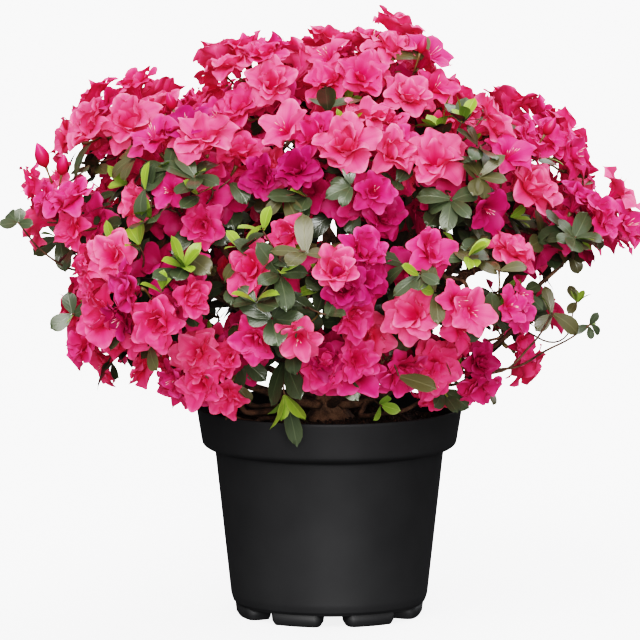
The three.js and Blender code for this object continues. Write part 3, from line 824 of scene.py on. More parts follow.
# The pot's section in millimetres: radius, height and how far the corner there is rounded off.
POT_SECTION = [
    (1, FLOOR_Z, 0), (66.4, FLOOR_Z, 0.5), (67.6, 9.8, 0.8), (68.9, 10.9, 0.5), (70.5, 15.7, 1.6),
    (82, 120, 1.6), (87.2, 121.4, 1.2), (90.7, 123.8, 1.6), (91.5, 127, 1.6),
    (94.9, 148.2, 0.4), (95, 150.5, 0.9), (93.2, 150.5, 0.7),
    (89.7, 127, 1.5), (87.9, 124.4, 1.5), (80.1, 119.6, 1.5), (68.7, 15.7, 1.5), (65.8, 10, 1),
    (1, 10, 0),
]
# The section of the foot wall: how far out from its own line, and height.
FOOT_SECTION = [(0.9, 9), (0.2, 3.2), (-1.5, 0.5), (-2, 0), (-3.4, 0), (-3.8, 0.4), (-2.2, 9)]


def rounded(section, steps=4):
    """A section whose corners are cut back by their rounding and bridged by a curve."""
    corners = np.array([corner[:2] for corner in section], float)
    points = [corners[0]]
    t = np.linspace(0, 1, steps)[:, None]
    for i in range(1, len(section) - 1):
        cut = section[i][2]
        before, here, after = corners[i - 1 : i + 2]
        a = here + (before - here) / np.linalg.norm(before - here) * cut
        b = here + (after - here) / np.linalg.norm(after - here) * cut
        points.extend((1 - t) ** 2 * a + 2 * t * (1 - t) * here + t**2 * b)
    points.append(corners[-1])
    return np.array(points)


def turned(section, around):
    """A section in millimetres turned round the Z axis: from the axis, out, up and back to it."""
    turn = np.arange(around) / around * TAU
    r, z = section[:, :1] * MM, section[:, 1:] * MM
    return tubes(np.stack([r * np.cos(turn), r * np.sin(turn), z + 0 * turn], axis=-1)[None])


def foot_walls():
    """Seven upright walls under the ledge. Each runs round its share of the foot, and at both
    ends curves in along a water channel as one of its cheeks."""
    share = math.pi / NOTCHES
    mouth = share - math.asin(CHANNEL_WIDE / 2 / FOOT_R)
    inner = np.array([CHANNEL_IN_R, -CHANNEL_NARROW / 2])
    turn_in = np.array([[math.cos(share), -math.sin(share)], [math.sin(share), math.cos(share)]])
    inner = turn_in @ inner
    edge = FOOT_R * np.array([math.cos(mouth), math.sin(mouth)])
    ahead = np.array([-math.sin(mouth), math.cos(mouth)])
    outward = np.array([math.cos(share), math.sin(share)])
    t = np.linspace(0, 1, 16)[1:, None]
    cheek = (1 - t) ** 3 * edge + 3 * (1 - t) ** 2 * t * (edge + ahead * 6)
    cheek = cheek + 3 * (1 - t) * t**2 * (inner + outward * 9) + t**3 * inner
    round_it = np.linspace(-mouth, mouth, 15)
    front = FOOT_R * np.stack([np.cos(round_it), np.sin(round_it)], axis=-1)
    path = np.concatenate([(cheek * (1, -1))[::-1], front, cheek])
    way = unit(np.gradient(path, axis=0))
    normal = np.stack([way[:, 1], -way[:, 0]], axis=-1)
    off, z = np.array(FOOT_SECTION).T
    plan = path[:, None] + normal[:, None] * off[None, :, None]
    turns = np.arange(NOTCHES) / NOTCHES * TAU - math.pi / 2 + NOTCH_TURN + share
    c, s = np.cos(turns)[:, None, None], np.sin(turns)[:, None, None]
    x, y = plan[..., 0], plan[..., 1]
    wall = np.stack([x * c - y * s, x * s + y * c, z + 0 * x * c], axis=-1)
    return tubes(wall * MM)


def ripples(x, y, label, longest, shortest, count):
    """Rough ground: a sum of `count` straight waves in all directions, higher where longer."""
    roll = dice("ripples", label)
    total = 0
    for length in np.geomspace(longest, shortest, count):
        way = roll.uniform(0, TAU)
        wave = (x * math.cos(way) + y * math.sin(way)) / length * TAU
        total = total + np.sin(wave + roll.uniform(0, TAU)) * length / longest
    return total


PEAT_FOOT = 130 * MM  # the peat that shows is a body cut off flat at this height in the pot
PEAT_SEAM = 1 * MM  # the peat ends this far inside the edge of its own box
CRUMBS = 700


def ground(x, y):
    """Height of the peat in metres: a low mound with clods and crumbs."""
    _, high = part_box("soil")
    edge = high[0] - PEAT_SEAM
    far = np.hypot(x, y) / edge
    base = high[2] - 3 * MM * ease((far - 0.3) / 0.7)
    clods = ripples(x, y, "clods", 34 * MM, 9 * MM, 14) * 0.5 * MM
    crumbs = ripples(x, y, "crumbs", 8 * MM, 2.2 * MM, 30) * 0.28 * MM
    return base + (clods + crumbs) * ease((1 - far) / 0.06)


def peat():
    """The peat as a closed body: flat below, a side inside the pot, and rough ground on top."""
    _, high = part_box("soil")
    edge = high[0] - PEAT_SEAM
    turn = np.arange(AROUND) / AROUND * TAU
    reach = np.concatenate([[1 * MM, edge * 0.97, edge], np.linspace(edge * 0.995, 0.8 * MM, 64)])
    x, y = reach[:, None] * np.cos(turn), reach[:, None] * np.sin(turn)
    z = ground(x, y)
    z[:2] = PEAT_FOOT
    return tubes(np.stack([x, y, z], axis=-1)[None])


def crumbs(count):
    """Crumbs of peat on the ground: small balls, squashed and dented by a few waves."""
    roll = dice("crumbs")
    rows, cols = 6, 8
    s = np.linspace(0.08, 0.92, rows)[:, None] * math.pi
    turn = np.arange(cols) / cols * TAU
    ball = np.stack([np.sin(s) * np.cos(turn), np.sin(s) * np.sin(turn), -np.cos(s) + 0 * turn], -1)
    dent = 1 + 0.3 * np.sin(3 * turn + roll.uniform(0, TAU, (count, 1, 1))) * np.sin(2.2 * s)
    size = roll.uniform(0.7, 2.4, (count, 1, 3)) * MM * np.array([1.2, 1, 0.7])
    local = ball * dent[..., None] * size[:, None]
    _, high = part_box("soil")
    far = np.sqrt(roll.uniform(0.02, 0.86, count)) * high[0]
    way = roll.uniform(0, TAU, count)
    x, y = far * np.cos(way), far * np.sin(way)
    origin = np.stack([x, y, ground(x, y) + 0.4 * MM], axis=-1)
    axes = axes_on(roll.normal(0, 1, (count, 3)), roll.uniform(0, TAU, count))
    return tubes(placed(local, axes, origin))


# ---- finishes -------------------------------------------------------------------------------


def sockets(tree, given):
    """Sets or links the inputs of a node: a socket is linked, anything else is its value."""
    node, inputs = given
    for name, value in inputs.items():
        socket = node.inputs[name]
        if isinstance(value, bpy.types.NodeSocket):
            tree.links.new(value, socket)
        else:
            socket.default_value = value
    return node


def make(tree, kind, inputs=None, **settings):
    """A node of a kind, with its settings and its inputs, which may be given by number."""
    node = tree.nodes.new(kind)
    for name, value in settings.items():
        setattr(node, name, value)
    return sockets(tree, (node, inputs or {}))


def calc(tree, operation, a, b=0.0, clamp=False):
    """One sum, product or other operation on two values."""
    return make(tree, "ShaderNodeMath", {0: a, 1: b}, operation=operation, use_clamp=clamp).outputs[0]


def blend_sum(tree, a, share_a, b, share_b):
    """The sum of two values, each times its share."""
    return calc(tree, "ADD", calc(tree, "MULTIPLY", a, share_a), calc(tree, "MULTIPLY", b, share_b))


def ramp(tree, factor, stops):
    """A colour for each value from a few stops of place and colour."""
    node = make(tree, "ShaderNodeValToRGB", {"Fac": factor})
    marks = node.color_ramp.elements
    while len(marks) < len(stops):
        marks.new(0.5)
    for mark, (place, colour) in zip(marks, stops):
        mark.position = place
        mark.color = (*colour, 1)
    return node.outputs["Color"]


def mix(tree, factor, a, b, blend="MIX"):
    """Two colours mixed by a factor."""
    node = tree.nodes.new("ShaderNodeMix")
    node.data_type = "RGBA"
    node.blend_type = blend
    given = {0: factor, 6: a, 7: b}
    return sockets(tree, (node, given)).outputs[2]


def group(name, inputs, outputs):
    """An empty node group with named inputs and outputs: its tree, its inputs and its outputs."""
    tree = bpy.data.node_groups.new(name, "ShaderNodeTree")
    for label, kind, value in inputs:
        made = tree.interface.new_socket(name=label, in_out="INPUT", socket_type=kind)
        if value is not None:
            made.default_value = value
    for label, kind in outputs:
        tree.interface.new_socket(name=label, in_out="OUTPUT", socket_type=kind)
    return tree, tree.nodes.new("NodeGroupInput").outputs, tree.nodes.new("NodeGroupOutput")


def blade_group():
    """Where a point lies on a petal or leaf, from its pattern map: Along from foot to tip,
    Across from the midline to the edge, and Veins, a fan of fine ribs that leave the midline."""
    tree, given, out = group(
        "Blade pattern",
        [("Ribs", "NodeSocketFloat", 9.0), ("Slant", "NodeSocketFloat", 2.0)],
        [("Along", "NodeSocketFloat"), ("Across", "NodeSocketFloat"), ("Veins", "NodeSocketFloat")],
    )
    place = make(tree, "ShaderNodeUVMap", uv_map="OFBake").outputs["UV"]
    parts = make(tree, "ShaderNodeSeparateXYZ", {"Vector": place}).outputs
    across = calc(tree, "MULTIPLY", calc(tree, "SUBTRACT", parts["X"], 0.02 + TILE / 2), 2 / TILE)
    across = calc(tree, "ABSOLUTE", across)
    along = calc(tree, "MULTIPLY", calc(tree, "SUBTRACT", parts["Y"], 0.02), 1 / TILE)
    phase = calc(tree, "MULTIPLY", along, given["Ribs"])
    phase = calc(tree, "SUBTRACT", phase, calc(tree, "MULTIPLY", across, given["Slant"]))
    wave = calc(tree, "COSINE", calc(tree, "MULTIPLY", phase, TAU))
    veins = calc(tree, "POWER", blend_sum(tree, wave, 0.5, 1.0, 0.5), 6.0)
    for label, value in (("Along", along), ("Across", across), ("Veins", veins)):
        tree.links.new(value, out.inputs[label])
    return tree


def mottle_group():
    """Uneven patches on a surface at two sizes, from the object's own coordinates: Patches are
    broad and soft, Grain is fine."""
    tree, given, out = group(
        "Mottle",
        [("Patch size", "NodeSocketFloat", 60.0), ("Grain size", "NodeSocketFloat", 900.0)],
        [("Patches", "NodeSocketFloat"), ("Grain", "NodeSocketFloat")],
    )
    place = make(tree, "ShaderNodeTexCoord").outputs["Object"]
    for label, scale, detail in (("Patches", "Patch size", 3.0), ("Grain", "Grain size", 5.0)):
        inputs = {"Vector": place, "Scale": given[scale], "Detail": detail}
        noise = make(tree, "ShaderNodeTexNoise", inputs)
        tree.links.new(noise.outputs["Fac"], out.inputs[label])
    return tree


def material(name, **constants):
    """A new material and its shader with plain values set on it."""
    made = bpy.data.materials.new(name)
    made.use_nodes = True
    shader = made.node_tree.nodes["Principled BSDF"]
    for label, value in constants.items():
        shader.inputs[label.replace("_", " ")].default_value = value
    return made, made.node_tree, shader


def bump(tree, height, strength, distance):
    """Relief from a height."""
    given = {"Height": height, "Strength": strength, "Distance": distance}
    return make(tree, "ShaderNodeBump", given).outputs["Normal"]


def use(tree, shared, inputs=None):
    """A shared node group placed in a material: its outputs."""
    node = tree.nodes.new("ShaderNodeGroup")
    node.node_tree = shared
    return sockets(tree, (node, inputs or {})).outputs


PAINTED_PETAL_GLOW = 0.055  # painted glow: the petals give off a little light of their own, in place of the light that comes through a petal from behind


def petal_finish(name, shared, throat, limb, edge):
    """A petal: deep in its throat, partly its own deeper colour and partly painted shade of the cup,
    clear pink on its blade, paler at its edge, partly its own paler margin and partly a painted
    highlight, finely ribbed, with painted shade along its midline crease.
    """
    # Painted glow: a faint light of the blade's own colour, given off by the petal itself.
    glow = {"Emission_Color": (*limb, 1), "Emission_Strength": PAINTED_PETAL_GLOW}
    made, tree, shader = material(name, Roughness=0.55, Specular_IOR_Level=0.3, **glow)
    made.cycles.emission_sampling = "NONE"
    blade = use(tree, shared["blade"], {"Ribs": 3.0, "Slant": 5.0})
    # From the throat, its own deeper colour with painted shade of the cup, through the blade to a paler
    # tip that is partly a painted highlight.
    colour = ramp(tree, blade["Along"], [(0.3, throat), (0.62, limb), (0.84, limb), (1.0, edge)])
    # Paler to both sides: its own paler margin and a painted highlight.
    rim = calc(tree, "POWER", blade["Across"], 4.0)
    colour = mix(tree, calc(tree, "MULTIPLY", rim, 0.5), colour, (*edge, 1))
    # Painted shade along the midline crease, together with the veins' own darker tone, mixed towards
    # the throat colour.
    crease = calc(tree, "SUBTRACT", 1.0, calc(tree, "MULTIPLY", blade["Across"], 4.0), clamp=True)
    vein_tone_and_painted_shade = blend_sum(tree, blade["Veins"], 0.1, crease, 0.3)
    colour = mix(tree, vein_tone_and_painted_shade, colour, (*throat, 1))
    tree.links.new(colour, shader.inputs["Base Color"])
    height = calc(tree, "SUBTRACT", 1.0, vein_tone_and_painted_shade)
    tree.links.new(bump(tree, height, 0.35, 0.4 * MM), shader.inputs["Normal"])
    return made


def leaf_finish(name, shared, body, rib, edge, roughness):
    """A leaf: its own green with a paler midrib and edge, and sunken side veins."""
    made, tree, shader = material(name, Roughness=roughness, Specular_IOR_Level=0.6)
    blade = use(tree, shared["blade"], {"Ribs": 6.0, "Slant": 2.2})
    rim = calc(tree, "POWER", blade["Across"], 7.0)
    colour = mix(tree, calc(tree, "MULTIPLY", rim, 0.5), (*body, 1), (*edge, 1))
    midrib = calc(tree, "SUBTRACT", 1.0, calc(tree, "MULTIPLY", blade["Across"], 11.0), clamp=True)
    fade = calc(tree, "SUBTRACT", 1.15, blade["Along"])
    colour = mix(tree, calc(tree, "MULTIPLY", midrib, fade, clamp=True), colour, (*rib, 1))
    colour = mix(tree, calc(tree, "MULTIPLY", blade["Veins"], 0.05), colour, (*rib, 1))
    tree.links.new(colour, shader.inputs["Base Color"])
    sunk = calc(tree, "ADD", midrib, calc(tree, "MULTIPLY", blade["Veins"], 0.4))
    height = calc(tree, "SUBTRACT", 1.0, sunk)
    tree.links.new(bump(tree, height, 0.3, 0.3 * MM), shader.inputs["Normal"])
    return made


def lengthwise_finish(name, shared, roughness, stops):
    """A plain thread or bud whose colour runs along it through a few stops."""
    made, tree, shader = material(name, Roughness=roughness)
    colour = ramp(tree, use(tree, shared["blade"])["Along"], stops)
    tree.links.new(colour, shader.inputs["Base Color"])
    return made


def bark_finish(name, shared, dark, light):
    """Rough bark: brown in patches, with a fine grain that is also its relief."""
    made, tree, shader = material(name, Roughness=0.85)
    spots = use(tree, shared["mottle"], {"Patch size": 140.0, "Grain size": 900.0})
    factor = blend_sum(tree, spots["Patches"], 1.1, spots["Grain"], 0.7)
    colour = ramp(tree, calc(tree, "SUBTRACT", factor, 0.4), [(0.2, dark), (0.8, light)])
    tree.links.new(colour, shader.inputs["Base Color"])
    tree.links.new(bump(tree, spots["Grain"], 0.8, 0.5 * MM), shader.inputs["Normal"])
    return made


def pot_finish(shared):
    """Black moulded plastic: near black, satin, with faint cloudy patches of duller skin."""
    made, tree, shader = material("black plastic", Specular_IOR_Level=0.36)
    spots = use(tree, shared["mottle"], {"Patch size": 26.0, "Grain size": 1500.0})
    stops = [(0.3, (0.02, 0.02, 0.0206)), (0.7, (0.024, 0.024, 0.0246))]
    colour = ramp(tree, spots["Patches"], stops)
    tree.links.new(colour, shader.inputs["Base Color"])
    rough = calc(tree, "ADD", calc(tree, "MULTIPLY", spots["Patches"], 0.1), 0.54)
    tree.links.new(rough, shader.inputs["Roughness"])
    tree.links.new(bump(tree, spots["Grain"], 0.12, 0.1 * MM), shader.inputs["Normal"])
    return made


def peat_finish(shared):
    """Moist peat: very dark brown crumbs among paler brown fibres."""
    made, tree, shader = material("moist peat", Roughness=0.9)
    spots = use(tree, shared["mottle"], {"Patch size": 90.0, "Grain size": 620.0})
    factor = blend_sum(tree, spots["Patches"], 0.7, spots["Grain"], 0.9)
    stops = [(0.55, (0.012, 0.006, 0.004)), (0.8, (0.045, 0.02, 0.012)), (1.0, (0.12, 0.06, 0.035))]
    tree.links.new(ramp(tree, factor, stops), shader.inputs["Base Color"])
    tree.links.new(bump(tree, spots["Grain"], 1.0, 1 * MM), shader.inputs["Normal"])
    return made


# ---- studio ---------------------------------------------------------------------------------

AIM = np.array([-6.7, 0, 212.5]) * MM  # the middle of the front view
CAMERA_FAR = 6.0
VIEW_WIDE = 0.458  # width of the front view at that distance
FLOOR_REACH = 90
FLOOR_STEPS = 13
FLOOR_GLOW = 1.3
BACKDROP = (3, 3, 3, 1)
EXPOSURE = 0.35


def studio_camera():
    """A long lens a little above the pot's lip, square on to the front."""
    data = bpy.data.cameras.new("camera")
    data.lens = data.sensor_width * CAMERA_FAR / VIEW_WIDE
    data.clip_end = 100
    camera = bpy.data.objects.new("camera", data)
    back = np.array([0, -math.cos(LOOK_DOWN), math.sin(LOOK_DOWN)])
    camera.location = AIM + back * CAMERA_FAR
    camera.rotation_euler = (math.pi / 2 - LOOK_DOWN, 0, 0)
    bpy.context.scene.collection.objects.link(camera)
    bpy.context.scene.camera = camera


def studio_floor():
    """A wide pale floor: a flat grid, finer near the plant."""
    reach = np.linspace(-1, 1, FLOOR_STEPS) ** 3 * FLOOR_REACH
    x, y = np.meshgrid(reach, reach)
    spots = np.stack([x, y, np.zeros_like(x)], axis=-1)
    made, tree, shader = material("pale floor", Roughness=0.9, Emission_Strength=FLOOR_GLOW)
    made.cycles.emission_sampling = "NONE"
    spread = use(tree, SHARED["mottle"], {"Patch size": 1.5, "Grain size": 40.0})
    tint = ramp(tree, spread["Patches"], [(0, (0.86, 0.86, 0.87)), (1, (0.9, 0.9, 0.9))])
    tree.links.new(tint, shader.inputs["Base Color"])
    tree.links.new(tint, shader.inputs["Emission Color"])
    floor = piece("floor", [sheets(spots[None])], made)
    floor.visible_glossy = False
    floor.visible_diffuse = False


def soft_light(name, way, strength, spread, colour):
    """A broad distant light that shines along a way."""
    data = bpy.data.lights.new(name, "SUN")
    data.energy = strength
    data.angle = math.radians(spread)
    data.color = colour
    light = bpy.data.objects.new(name, data)
    way = unit(np.array(way, float))
    light.rotation_euler = (math.acos(-way[2]), 0, math.atan2(-way[0], way[1]))
    bpy.context.scene.collection.objects.link(light)


def studio_light():
    """A tent of soft light, brighter overhead than at the sides, with a key from the front."""
    world = bpy.data.worlds.new("tent")
    bpy.context.scene.world = world
    world.use_nodes = True
    tree = world.node_tree
    way = make(tree, "ShaderNodeTexCoord").outputs["Generated"]
    height = make(tree, "ShaderNodeSeparateXYZ", {"Vector": way}).outputs["Z"]
    stops = [(0.0, (0.34, 0.34, 0.35)), (0.35, (0.52, 0.52, 0.54)), (0.9, (1.15, 1.15, 1.15))]
    tent = ramp(tree, height, stops)
    depth = make(tree, "ShaderNodeSeparateXYZ", {"Vector": way}).outputs["Y"]
    stops = [(0.0, (0.25, 0.25, 0.25)), (0.9, (1, 1, 1))]
    walls = ramp(tree, calc(tree, "MULTIPLY", depth, -1.0), stops)
    path = make(tree, "ShaderNodeLightPath").outputs
    mirrored = mix(tree, path["Is Glossy Ray"], (1, 1, 1, 1), walls)
    tent = mix(tree, 1.0, tent, mirrored, "MULTIPLY")
    colour = mix(tree, path["Is Camera Ray"], tent, BACKDROP)
    sockets(tree, (tree.nodes["Background"], {"Color": colour, "Strength": 1.0}))
    soft_light("key", (0.3, 1, -0.9), 1.6, 40, (1, 0.99, 0.97))
    soft_light("front", (-0.08, 1, -0.1), 1.95, 24, (1, 1, 1))
    soft_light("fill", (-0.7, -0.8, -0.9), 1.0, 60, (0.97, 0.98, 1))
    view = bpy.context.scene.view_settings
    view.view_transform = "Filmic"
    view.look = "Very High Contrast"
    view.exposure = EXPOSURE


# ---- the whole plant ------------------------------------------------------------------------

SHARED = {"blade": blade_group(), "mottle": mottle_group()}
BARK = bark_finish("old bark", SHARED, (0.045, 0.026, 0.017), (0.22, 0.135, 0.085))
TWIG_BARK = bark_finish("twig bark", SHARED, (0.035, 0.021, 0.014), (0.16, 0.09, 0.055))

# Tints of flower, palest first: share of the flowers, and the colours of throat, blade and edge. They
# are lit and shaded copies of one pink, painted light and shade: the palest go to the flowers in the
# light, the deepest to those in shade.
TINTS = {
    "pale_rose": (0.11, (0.5, 0.009, 0.08), (0.71, 0.084, 0.168), (0.77, 0.165, 0.255)),
    "warm_rose": (0.19, (0.46, 0.005, 0.075), (0.66, 0.058, 0.142), (0.73, 0.12, 0.215)),
    "rose": (0.22, (0.41, 0.004, 0.075), (0.58, 0.042, 0.134), (0.68, 0.1, 0.208)),
    "clear_pink": (0.22, (0.34, 0.003, 0.07), (0.5, 0.032, 0.125), (0.61, 0.088, 0.21)),
    "deep_rose": (0.27, (0.22, 0.002, 0.05), (0.32, 0.009, 0.08), (0.43, 0.036, 0.135)),
}
LEAF_TINTS = {
    "green": (0.7, (0.058, 0.072, 0.041), (0.115, 0.135, 0.078), (0.078, 0.09, 0.044), 0.29),
    "bronze": (0.3, (0.082, 0.075, 0.036), (0.145, 0.138, 0.07), (0.106, 0.09, 0.043), 0.33),
}
NEW_GREEN = ((0.18, 0.26, 0.04), (0.32, 0.39, 0.12), (0.33, 0.38, 0.13), 0.42)


def deal(shares, scores):
    """Deals names out by their shares: the first name to the highest scores, and so on."""
    names = list(shares)
    rank = np.argsort(np.argsort(-scores)) / len(scores)
    until = np.cumsum([shares[name][0] for name in names])
    return np.array(names)[np.minimum(np.searchsorted(until, rank), len(names) - 1)]


OPENNESS = (0.97, 0.14)  # how open flowers are, with its spread, then its least and most
OPENNESS_LIMITS = (0.45, 1.2)
FLOWER_SIZE = (0.92, 0.06)  # their size, likewise, which grows by SIZE_RISE a metre from MIDDLE_Z
FLOWER_LIMITS = (0.76, 1.06)
MIDDLE_Z = 270 * MM
SIZE_RISE = 0.5
# Painted light and shade: flowers that stand high and face up get paler tints, as if lit, and those low
# down or facing down get deeper ones, as if shaded.
SHADE_Z = 280 * MM  # a flower is the paler the higher it stands over this, and the more it
PAINTED_LIGHT_BY_HEIGHT = 0.5  # faces up
PAINTED_LIGHT_FACING_UP = 0.2
PALE_SPREAD = 0.25
WHORL_SHARES = [0.16, 0.3, 0.54]  # of the outer flowers, with one, two and all three whorls


def plant_flowers(feet, ways, looks, outer):
    """The petals of every flower, one piece for each tint, and their stamens. Looks are the size and
    paleness of each. Those of the outer layer, which come first, may be double; paler tints go to the
    ones in the light and deeper tints to the ones in shade, as painted light and shade."""
    roll = dice("flowers")
    count = len(feet)
    is_outer = np.arange(count) < outer
    openness = np.clip(roll.normal(*OPENNESS, count), *OPENNESS_LIMITS)
    axes = axes_on(ways, roll.uniform(0, TAU, count))
    size = roll.normal(*FLOWER_SIZE, count) + SIZE_RISE * (feet[:, 2] - MIDDLE_Z)
    size = np.clip(size, *FLOWER_LIMITS) * looks[:, 0]
    axes = axes * size[:, None, None]
    # Painted light and shade: how lit a flower is taken to be, from its height, how far it faces up and
    # its given paleness; this picks its tint.
    light = PAINTED_LIGHT_BY_HEIGHT * (feet[:, 2] - SHADE_Z) + PAINTED_LIGHT_FACING_UP * ways[:, 2] + looks[:, 1]
    tints = deal(TINTS, light + roll.normal(0, PALE_SPREAD, count))
    whorls = [whorl(kind, openness, roll) for kind in (OUTER, INNER, CENTRE)]
    layers = np.where(is_outer, roll.choice([1, 2, 3], count, p=WHORL_SHARES), 1)
    layers[looks[:, 0] > FULL_SIZE] = 3
    made = []
    for tint, (_, *colours) in TINTS.items():
        parts = []
        for number, grids in enumerate(whorls):
            chosen = (tints == tint) & (layers > number)
            local = grids[chosen]
            petals = local.shape[1]
            flat = local.reshape(-1, *local.shape[2:])
            where = np.repeat(np.flatnonzero(chosen), petals)
            parts.append(sheets(placed(flat, axes[where], feet[where]), flip=True))
        finish = petal_finish(tint.replace("_", " ") + " petal", SHARED, *colours)
        made.append(piece("petals_" + tint, parts, finish))
    plant_stamens(feet, axes, np.flatnonzero(is_outer & (layers < 3)), roll)
    return made


STAMENS = 5
STAMEN_FOOT = 5 * MM  # they leave the flower's axis this far above its foot
STAMEN_LEAN = (0.05, 0.4)  # least and most
STAMEN_LENGTH = (11, 19)
STAMEN_RADII = np.array([0.26, 0.22, 0.2, 0.2, 0.5, 0.4, 0.1]) * MM
STAMEN_TINT = [(0.3, (0.6, 0.02, 0.09)), (0.75, (0.8, 0.12, 0.22)), (0.9, (0.75, 0.4, 0.35))]


def plant_stamens(feet, axes, open_ones, roll):
    """The stamens of the flowers that aren't fully double: thin threads that lean out round the
    axis and end in a thicker tip."""
    where = np.repeat(open_ones, STAMENS)
    turn = roll.uniform(0, TAU, len(where))
    lean = np.stack([np.cos(turn), np.sin(turn), 0 * turn], axis=-1)
    lean = lean * roll.uniform(*STAMEN_LEAN, (len(where), 1))
    start = feet[where] + axes[where, 2] * STAMEN_FOOT
    heading = np.einsum("nk,nkj->nj", unit(lean + UP), axes[where])
    end = start + heading * roll.uniform(*STAMEN_LENGTH, len(where))[:, None] * MM
    threads = stalks(start, unit(axes[where, 2]), end, heading, STAMEN_RADII, 4)
    finish = lengthwise_finish("stamen", SHARED, 0.5, STAMEN_TINT)
    piece("stamens", [threads], finish)


def plant_leaves(old, new):
    """All leaves that keep clear of the flowers, one piece for each tint. Old and new are lists
    of batches: kind of leaf, tips and ways of the shoots, the number of leaves on each, their
    size, and the flowers to keep clear of."""
    roll = dice("leaves")
    parts = {tint: [] for tint in LEAF_TINTS}
    parts["new"] = []
    for batches, shares in ((old, LEAF_TINTS), (new, {"new": (1,)})):
        for kind, tips, ways, counts, grown, flowers in batches:
            axes = axes_on(ways, roll.uniform(0, TAU, len(tips)))
            size = roll.normal(1, 0.08, len(tips)) * grown
            tints = deal(shares, roll.uniform(0, 1, len(tips)))
            if kind is HANGING_LEAF:
                tints[:] = "green"
            for tint in shares:
                its = tints == tint
                grids = leaf_shoots(kind, counts[its], axes[its], tips[its], size[its], roll)
                if flowers:
                    grids = clear_of(grids, *flowers)
                parts[tint].append(sheets(grids, flip=True))
    for tint, (_, *colours) in LEAF_TINTS.items():
        piece("leaves_" + tint, parts[tint], leaf_finish(tint + " leaf", SHARED, *colours))
    piece("leaves_new", parts["new"], leaf_finish("new leaf", SHARED, *NEW_GREEN))


BUD_HALF = 0.25  # half width of a bud as a share of its length
BUD_STALK = 15 * MM
BUD_RADII = np.array([0.8, 0.7, 0.75, 1.3]) * MM
BUD_TINT = [(0.1, (0.3, 0.012, 0.03)), (0.5, (0.5, 0.008, 0.06)), (0.95, (0.7, 0.04, 0.14))]


def plant_buds():
    """Furled flower buds. Their short stalks are given back as one part."""
    places, ways, lengths = (np.array(column, float) for column in zip(*BUDS))
    places, lengths = places * MM, lengths * MM
    axes = axes_on(ways, dice("buds").uniform(0, TAU, len(places)))
    grids = bud_grids(lengths, lengths * BUD_HALF, axes, places)
    piece("buds", [tubes(grids)], lengthwise_finish("bud", SHARED, 0.45, BUD_TINT))
    way = axes[:, 2]
    return stalks(places - way * BUD_STALK, way, places + way * MM, way, BUD_RADII, STALK_SIDES)


STALK_SIDES = 6
STALK_RADII = np.array([0.8, 0.7, 0.7, 0.8, 1.2, 1.6]) * MM
STALK_TINTS = ((0.13, 0.1, 0.035), (0.2, 0.15, 0.05), (0.2, 0.06, 0.04), 0.5)
UNDER_LEAVES = (4, 6.5)  # leaves under a truss, fewer by HIGH_FEWER above TRUSS_Z
HIGH_FEWER = 1.5
TRUSS_Z = 270 * MM
TRUSS_SOFT = 50 * MM
NEW_LEAF_FOOT = 2 * MM  # fresh leaves leave a shoot this far past its tip


def plant_limbs(tips, masses, roll):
    """The boughs with the stock, and all the twigs: those that fork on from each bough to the
    tips of its mass, and the stray ones, of which it gives the tips and ways."""
    limb_part, lines, ends = limbs()
    boughs = piece("boughs", [limb_part, stock()], BARK)
    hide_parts("stem", *["bough_" + name for name in MASSES])
    twigs = []
    for number, name in enumerate(MASSES):
        start, heading = ends[name]
        grow(start, heading, tips[masses == number], twigs, roll)
    stray_part, stray_tips, stray_ways = stray_twigs(lines)
    piece("twigs", [twig_tubes(twigs), stray_part], TWIG_BARK)
    return stray_tips, stray_ways


def plant_stalks(groups, truss_tip, truss_way, feet, ways):
    """The stalks of the flowers, from the tip of their truss to their feet, and of the buds."""
    leads = np.repeat(np.arange(len(groups)), [len(g) for g in groups])
    members = np.concatenate(groups)
    ahead = ways[members]
    end = feet[members] - ahead * 0.4 * MM
    pedicels = stalks(truss_tip[leads], truss_way[leads], end, ahead, STALK_RADII, STALK_SIDES)
    finish = leaf_finish("flower stalk", SHARED, *STALK_TINTS)
    piece("flower_stalks", [pedicels, plant_buds()], finish)


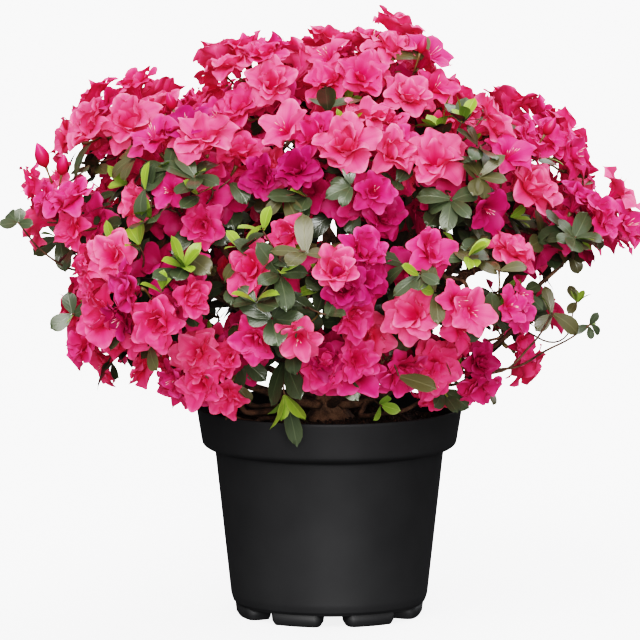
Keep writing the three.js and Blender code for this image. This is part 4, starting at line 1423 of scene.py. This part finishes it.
def plant():
    """Limbs, twigs, flowers and leaves from the frame's boughs and masses."""
    roll = dice("plant")
    plan = plan_crown()
    blooms = (plan["flowers"], plan["inner"])
    feet, ways, owners, looks = (np.concatenate(parts) for parts in zip(*blooms))
    leafy = (plan["rosettes"], plan["shoots"], plan["deep"])
    tips, headings, masses, leaves = (np.concatenate(parts) for parts in zip(*leafy))
    groups = trusses(feet, ways, owners)
    truss_way = unit(np.array([ways[g].mean(axis=0) for g in groups]))
    truss_tip = np.array([feet[g].mean(axis=0) for g in groups]) - truss_way * TRUSS_STALK
    truss_mass = np.array([owners[g[0]] for g in groups])
    all_masses = np.concatenate([truss_mass, masses])
    stray_tips, stray_ways = plant_limbs(np.concatenate([truss_tip, tips]), all_masses, roll)
    plant_stalks(groups, truss_tip, truss_way, feet, ways)
    petals = plant_flowers(feet, ways, looks, len(plan["flowers"][0]))
    high = ease((truss_tip[:, 2] - TRUSS_Z) / TRUSS_SOFT)
    under = (roll.uniform(*UNDER_LEAVES, len(groups)) - HIGH_FEWER * high).astype(int)
    on_strays = np.array([counts for *_, counts, _ in STRAYS])
    stray_size = np.array([size for *_, size in STRAYS])
    facing = np.sign(stray_tips) * (0, 1, 0)  # to the front or the back, whichever is nearer
    upright = unit(stray_ways * 0.4 + UP * 0.3 + facing)
    flowers = feet, ways
    old = [
        (TRUSS_LEAF, truss_tip, truss_way, under, 1, flowers),
        (OLD_LEAF, tips, headings, leaves[:, 0], 1, flowers),
        (OLD_LEAF, stray_tips, upright, on_strays[:, 0], stray_size, None),
        (HANGING_LEAF, stray_tips, stray_ways, on_strays[:, 1], stray_size, None),
    ]
    new = [
        (NEW_LEAF, tips + headings * NEW_LEAF_FOOT, headings, leaves[:, 1], 1, flowers),
        (NEW_LEAF, stray_tips, stray_ways, on_strays[:, 2], stray_size, None),
    ]
    plant_leaves(old, new)
    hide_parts(*["mass_" + name for name in MASSES])


def potted():
    """The pot with its foot walls, and the peat in it."""
    shell = turned(rounded(POT_SECTION), AROUND)
    pot = piece("nursery_pot", [shell, foot_walls()], pot_finish(SHARED))
    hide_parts("pot")
    soil = piece("peat", [peat(), crumbs(CRUMBS)], peat_finish(SHARED))
    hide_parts("soil")


studio_camera()
potted()
plant()
studio_floor()
studio_light()
